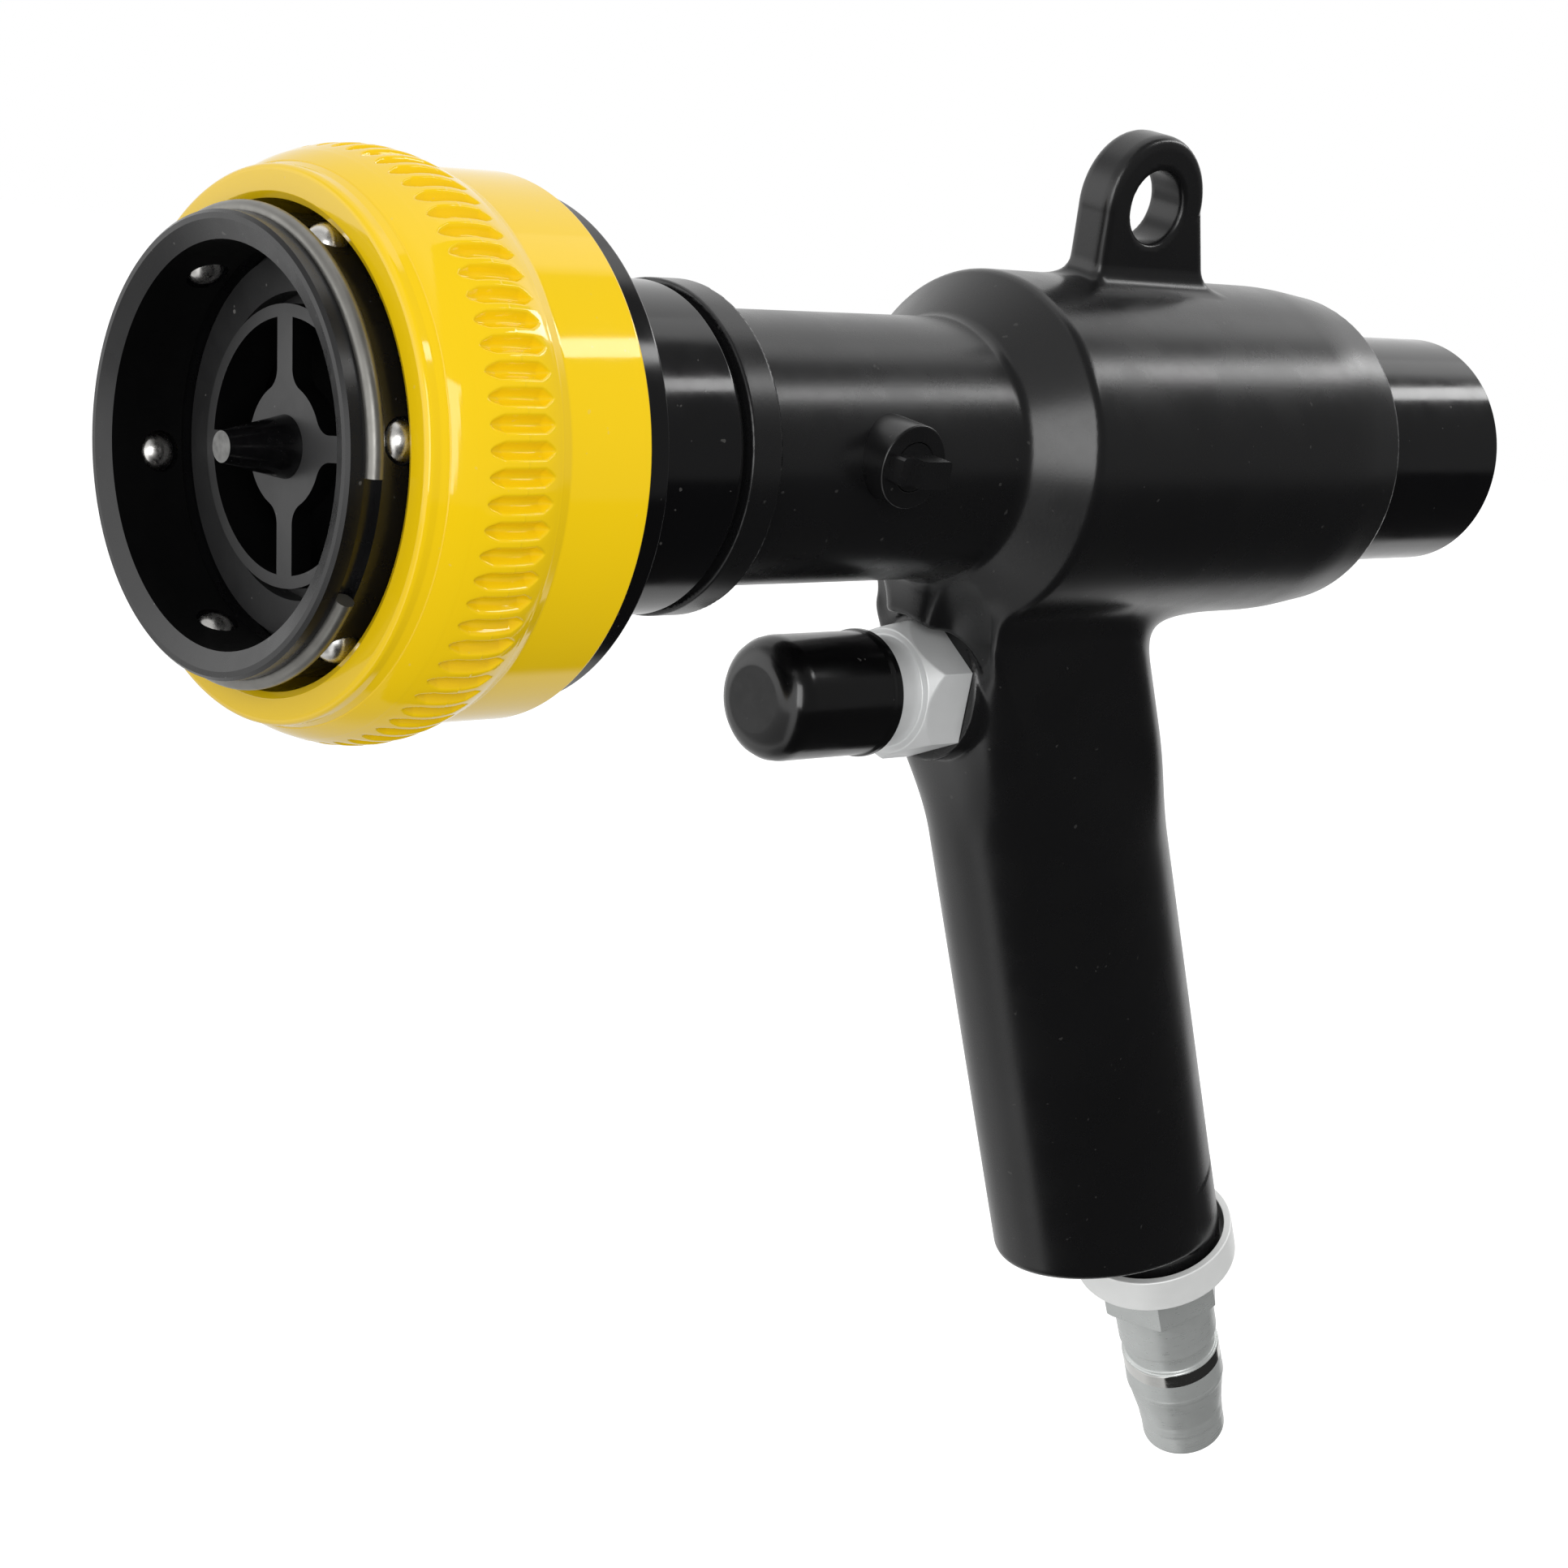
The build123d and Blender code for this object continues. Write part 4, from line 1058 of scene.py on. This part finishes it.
def bush_shape(x, y, z):
    """Hexagonal bush with turned chamfers, neck and shank."""
    r = np.hypot(y, z)
    head = meet(hexagon(y, z, BUSH_HALF_FLATS), slab(x, BUSH_HEX_X, VALVE_BOSS_X[0]), blend=0.12)
    head = meet(head, cone(x, r, BUSH_HEX_X, BUSH_CHAMFER_R, -BUSH_CHAMFER_SLOPE), blend=0.1)
    solid = join(head, rod(x, r, *BUSH_NECK_X, BUSH_NECK_R), blend=0.25)
    solid = join(solid, rod(x, r, *BUSH_SHANK_X, BUSH_SHANK_R), blend=0.2)
    in_ring_groove = np.abs(x - ROD_RING_X) < ROD_RING_HALF_WIDTH
    return cut(solid, np.where(in_ring_groove, r - ROD_RING_R, r - ROD_BORE_R), blend=0.15)


def plug_shape(x, y, z):
    """Inlet plug: hexagon, locking groove, bead and nose."""
    r = np.hypot(y, z)
    head = hexagon(z, y, PLUG_HALF_FLATS, PLUG_HEX_TURN)
    head = meet(head, slab(x, FERRULE_END_S, PLUG_HEX_END_S), blend=0.12)
    head = meet(head, cone(x, r, PLUG_HEX_END_S, PLUG_CHAMFER_R, PLUG_CHAMFER_SLOPE), blend=0.1)
    taper = meet(slab(x, *PLUG_TAPER_S), cone(x, r, *PLUG_TAPER_START, PLUG_TAPER_SLOPE), blend=0.2)
    nose = join(taper, rod(x, r, *PLUG_NOSE_S, PLUG_NOSE_R, edge=0.8), blend=0.4)
    solid = join(head, rod(x, r, *PLUG_COLLAR_S, PLUG_COLLAR_R, edge=0.2), blend=0.2)
    solid = join(solid, rod(x, r, *PLUG_GROOVE_S, PLUG_GROOVE_R, edge=0.1), blend=0.35)
    solid = join(solid, rod(x, r, *PLUG_BEAD_S, PLUG_BEAD_R, edge=0.45), blend=0.35)
    solid = join(solid, nose, blend=0.15)
    solid = join(solid, rod(x, r, *PLUG_SHANK_S, PLUG_SHANK_R, edge=0.2), blend=0.2)
    return cut(solid, r - PLUG_BORE_R, blend=0.4)


PLUG_SPACE = round_box(103.5, 150.5, 8.6)
PLUG_STEP = 0.18
BUSH_SPACE = round_box(75.5, 97.5, 8.5)
BUSH_STEP = 0.16


def make_plug():
    """Inlet plug, with a polished band at the front of its bead."""
    plug = net_piece(
        "plug_turned", plug_shape, *PLUG_SPACE, PLUG_STEP, ZINC, down_inlet(), "inlet_plug",
    )
    plug.data.materials.append(POLISHED)
    for face in plug.data.polygons:
        spot = np.array(face.center) / MM
        along = spot @ INLET_AXIS
        r = np.linalg.norm(spot - along * INLET_AXIS)
        if PLUG_POLISHED_S[0] < along < PLUG_POLISHED_S[1] and r > PLUG_POLISHED_R:
            face.material_index = 1


net_piece(
    "bush_hex", bush_shape, *BUSH_SPACE, BUSH_STEP, ALUMINIUM, along_x(VALVE_Z), "valve_bush",
)
make_plug()

# --- Springs, drawn as coils ---

STEPS_PER_TURN = 48
WIRE_SIDES = 12


def make_spring(node, wire_r, turns):
    """Coil along the barrel in place of a CAD spring node, which is hidden."""
    low, high = box_of(node)
    centre = (low + high) / 2
    coil_r = (high[1] - low[1]) / 2 / MM - wire_r
    length = (high[0] - low[0]) / MM - 2 * wire_r
    path_steps = int(turns * STEPS_PER_TURN)
    along = np.linspace(0, 1, path_steps + 1)
    angle = 2 * math.pi * turns * along
    out = np.stack([np.zeros_like(angle), np.cos(angle), np.sin(angle)], 1)
    path = coil_r * out + np.outer(along * length - length / 2, (1.0, 0.0, 0.0))
    path_way = unit(np.gradient(path, axis=0))
    across = np.cross(path_way, out)
    spin = 2 * math.pi * np.arange(WIRE_SIDES) / WIRE_SIDES
    normals = np.cos(spin)[None, :, None] * out[:, None] + np.sin(spin)[None, :, None] * across[:, None]
    points = (path[:, None] + wire_r * normals).reshape(-1, 3)
    normals = normals.reshape(-1, 3)
    faces = []
    for row in range(path_steps):
        here, there = row * WIRE_SIDES, (row + 1) * WIRE_SIDES
        for column in range(WIRE_SIDES):
            following = (column + 1) % WIRE_SIDES
            faces.append((here + column, here + following, there + following, there + column))
    faces.append(tuple(range(WIRE_SIDES))[::-1])
    faces.append(tuple(path_steps * WIRE_SIDES + column for column in range(WIRE_SIDES)))
    if winds_inward(points[list(faces[0])], normals[0]):
        faces = [face[::-1] for face in faces]
    place = Matrix.Translation(Vector(centre))
    piece = new_object(f"{node}_coil", points, faces, normals, [SPRING], place)
    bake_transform(piece)
    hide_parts(node)


make_spring("collar_spring", wire_r=0.6, turns=3.5)
make_spring("valve_spring", wire_r=0.4, turns=5.5)

# --- CAD nodes kept as they are, with softened edges ---

KEPT = {
    "coupling_socket": (SOCKET_BLACK, 0.18),
    "retaining_ring": (WIRE, 0.0),
    "coupling_gasket": (GASKET, 0.15),
    "pin_spider": (SPIDER_BLACK, 0.12),
    "neck_o_ring": (O_RING, 0.0),
    "push_rod": (ZINC, 0.1),
    "rod_o_ring": (O_RING, 0.0),
    "valve_seat": (ALUMINIUM, 0.1),
    "seat_ring": (O_RING, 0.05),
    "valve_poppet": (ZINC, 0.1),
    "jet_ring": (ALUMINIUM, 0.1),
    "sleeve_o_ring": (O_RING, 0.0),
    "inlet_seal": (O_RING, 0.1),
    "port_plug": (NYLON, 0.15),
}
BALL_COUNT = 6
for number in range(1, BALL_COUNT + 1):
    KEPT[f"lock_ball_{number}"] = (BALL, 0.0)


def keep_node(node, material, edge):
    """Give a CAD node its material and, where edge isn't zero, a bevel of that many millimetres."""
    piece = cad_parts[node]
    piece.data.materials.clear()
    piece.data.materials.append(material)
    for face in piece.data.polygons:
        face.use_smooth = True
        face.material_index = 0
    if edge:
        bevel = piece.modifiers.new("edge", "BEVEL")
        bevel.width = edge * MM
        bevel.segments = 2
        bevel.limit_method = "ANGLE"
        bevel.angle_limit = math.radians(30)
        bevel.harden_normals = True


def paint_faces(node, materials, choose):
    """Add materials to a CAD node; choose names a face's material from its x, radius and direction."""
    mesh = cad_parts[node].data
    order = [mesh.materials[0].name]
    for material in materials:
        mesh.materials.append(material)
        order.append(material.name)
    for face in mesh.polygons:
        spot = (np.array(face.center) - MOUTH) / MM
        is_side = abs(face.normal.x) < 0.5
        face.material_index = order.index(choose(spot[0], math.hypot(spot[1], spot[2]), is_side).name)


def spider_finish_and_shade(x, r, is_side):
    """The pin is glossier than the spider it stands on, its tip is scuffed, and the spider's side walls get
    a darker black as painted shade.
    """
    if x < PIN_TIP_END_X:
        return PIN_SCUFF
    if x < PIN_END_X and r < PIN_R:
        return PIN_BLACK
    return PAINTED_SHADE_BLACK if is_side else SPIDER_BLACK


def socket_painted_shade(x, r, is_side):
    """The wall of the bore gets a darker, duller black as painted shade."""
    return PAINTED_SHADE_BLACK if r < SOCKET_BORE_R and is_side else SOCKET_BLACK


for node, (material, edge) in KEPT.items():
    keep_node(node, material, edge)
paint_faces("pin_spider", [PIN_BLACK, PIN_SCUFF, PAINTED_SHADE_BLACK], spider_finish_and_shade)
paint_faces("coupling_socket", [PAINTED_SHADE_BLACK], socket_painted_shade)

# --- Studio, in metres ---

MIDDLE = Vector(MOUTH) + Vector((0.08, 0.0, -0.04))
WHITE = (1.0, 1.0, 1.0, 1.0)
FLOOR_DROP = 0.34
FLOOR_R = 2.4
FLOOR_SIDES = 96
FLOOR_GLOW = 0.45

# What the glossy surfaces mirror. An edge is the range over which a part of the surround fades in;
# a height is the range of a direction's Z and the brightness at its two ends.
BRIGHT_WAY = (-0.454, 0.891)
BRIGHT_EDGE = (-0.45, -0.31)
WALL_HEIGHT = (-0.9, 0.1, 0.75, 1.05)
LEFT_EDGE = (-0.15, -0.6)
LEFT_GAIN = 0.65
DIP_EDGE = (-0.35, -0.6)
DIP_BACK_EDGE = (-0.1, 0.2)
DIP_HEIGHT = (-0.20, -0.25, 0.0, 0.6)
HIGH_EDGE = (-0.1, -0.4)
HIGH_HEIGHT = (0.30, 0.60, 0.0, 0.6)
NADIR_HEIGHT = (-1.0, -0.9, 0.5, 1.0)
FRONT_HEIGHT = (-0.12, -0.06, 0.03, 0.20)
FILL_HEIGHT = (-0.9, 0.7, 0.42, 0.70)
FILL_LEFT_GAIN = 0.25

# Each softbox has the two ends of its length, its width and how bright its face looks.
SOFTBOXES = {
    "strip": ((0.45, -0.50, 0.60), (1.25, -0.01, 0.60), 0.11, 6.8),
    "overhead": ((0.15, 0.10, 0.62), (1.05, 0.15, 0.62), 0.26, 0.3),
    "front": ((-0.50, -0.75, -0.05), (-0.50, -0.75, 0.60), 0.34, 4.6),
}

CAMERA_SPOT = Vector(MOUTH) + Vector((-152.79, -231.29, 63.4)) * MM
CAMERA_RIGHT = Vector((0.739, -0.6492, 0.1799))
CAMERA_DOWN = Vector((-0.0675, -0.337, -0.9391))
CAMERA_FORWARD = Vector((0.6703, 0.6819, -0.2929))
SENSOR_WIDTH_MM = 36.0
LENS_MM = 75.2


def make_floor():
    """Pale disc that the camera sees and other rays pass through."""
    spokes = [2 * math.pi * number / FLOOR_SIDES for number in range(FLOOR_SIDES)]
    points = [(0.0, 0.0, 0.0)] + [(FLOOR_R * math.cos(a), FLOOR_R * math.sin(a), 0.0) for a in spokes]
    faces = [(0, 1 + n, 1 + (n + 1) % FLOOR_SIDES) for n in range(FLOOR_SIDES)]
    mesh = bpy.data.meshes.new("floor")
    mesh.from_pydata(points, [], faces)
    floor = add_object("floor", mesh)
    floor.location = MIDDLE + Vector((0.0, 0.0, -FLOOR_DROP))
    material = bpy.data.materials.new("floor_pale")
    graph = empty_graph(material)
    is_camera = graph.add("ShaderNodeLightPath").outputs["Is Camera Ray"]
    place = graph.add("ShaderNodeTexCoord").outputs["Object"]
    tone = graph.mix(graph.noise(place, 8.0), (0.90, 0.90, 0.90), (0.94, 0.94, 0.94))
    matt = graph.add("ShaderNodeBsdfDiffuse", Color=tone)
    glow = graph.add("ShaderNodeEmission", Color=WHITE, Strength=FLOOR_GLOW)
    lit = graph.add("ShaderNodeAddShader", i0=matt.outputs[0], i1=glow.outputs[0])
    clear = graph.add("ShaderNodeBsdfTransparent")
    surface = graph.add("ShaderNodeMixShader", i0=is_camera, i1=clear.outputs[0], i2=lit.outputs[0])
    graph.add("ShaderNodeOutputMaterial", Surface=surface.outputs[0])
    mesh.materials.append(material)


def make_world():
    """Plain white for the camera, a bright wall and a dim front for reflections, and a soft fill."""
    world = bpy.data.worlds.new("studio")
    graph = empty_graph(world)
    world.cycles.sampling_method = "NONE"
    bpy.context.scene.world = world
    path = graph.add("ShaderNodeLightPath")
    way = graph.add("ShaderNodeTexCoord").outputs["Generated"]
    x, y, z = graph.add("ShaderNodeSeparateXYZ", Vector=way).outputs

    flat = graph.math("SQRT", graph.plus(graph.math("POWER", x, 2.0), graph.math("POWER", y, 2.0)))
    toward = graph.plus(graph.times(x, BRIGHT_WAY[0]), graph.times(y, BRIGHT_WAY[1]))
    toward = graph.math("DIVIDE", toward, graph.math("MAXIMUM", flat, 0.02))
    left = graph.ramp(x, *LEFT_EDGE)

    wall = graph.times(graph.ramp(z, *WALL_HEIGHT), graph.plus(1.0, graph.times(left, LEFT_GAIN)))
    far_left = graph.times(graph.ramp(x, *DIP_EDGE), graph.ramp(toward, *DIP_BACK_EDGE))
    dip = graph.times(far_left, graph.ramp(z, *DIP_HEIGHT))
    high = graph.times(graph.ramp(x, *HIGH_EDGE), graph.ramp(z, *HIGH_HEIGHT))
    wall = graph.times(wall, graph.math("SUBTRACT", 1.0, graph.math("MAXIMUM", dip, high)))
    wall = graph.times(wall, graph.ramp(z, *NADIR_HEIGHT))

    mirrored = graph.switch(graph.ramp(toward, *BRIGHT_EDGE), wall, graph.ramp(z, *FRONT_HEIGHT))
    fill = graph.plus(graph.ramp(z, *FILL_HEIGHT), graph.times(left, FILL_LEFT_GAIN))
    seen = graph.switch(path.outputs["Is Diffuse Ray"], fill, mirrored)
    strength = graph.switch(path.outputs["Is Camera Ray"], 1.0, seen)
    background = graph.add("ShaderNodeBackground", Color=WHITE, Strength=strength)
    graph.add("ShaderNodeOutputWorld", Surface=background.outputs[0])


def softbox(name, start, end, width, level):
    """Rectangular lamp between two points, aimed at the gun; level is how bright its face looks."""
    start, end = Vector(start), Vector(end)
    centre = (start + end) / 2
    length = (end - start).length
    lamp = bpy.data.lights.new(name, "AREA")
    lamp.shape = "RECTANGLE"
    lamp.size = length
    lamp.size_y = width
    lamp.energy = level * math.pi * length * width
    item = add_object(name, lamp)
    back = (centre - MIDDLE).normalized()
    along = (end - start).normalized()
    along = (along - back * along.dot(back)).normalized()
    across = back.cross(along)
    turn = Matrix((along, across, back)).transposed().to_4x4()
    item.matrix_world = Matrix.Translation(centre) @ turn
    item.visible_camera = False


def make_camera():
    camera = bpy.data.cameras.new("camera")
    camera.sensor_width = SENSOR_WIDTH_MM
    camera.lens = LENS_MM
    camera.clip_start = 0.01
    camera.clip_end = 20.0
    item = add_object("camera", camera)
    axes = (CAMERA_RIGHT.normalized(), -CAMERA_DOWN.normalized(), -CAMERA_FORWARD.normalized())
    item.matrix_world = Matrix.Translation(CAMERA_SPOT) @ Matrix(axes).transposed().to_4x4()
    bpy.context.scene.camera = item


make_floor()
make_world()
for name, settings in SOFTBOXES.items():
    softbox(name, *settings)
make_camera()
scene = bpy.context.scene
scene.view_settings.view_transform = "Standard"
scene.view_settings.look = "None"
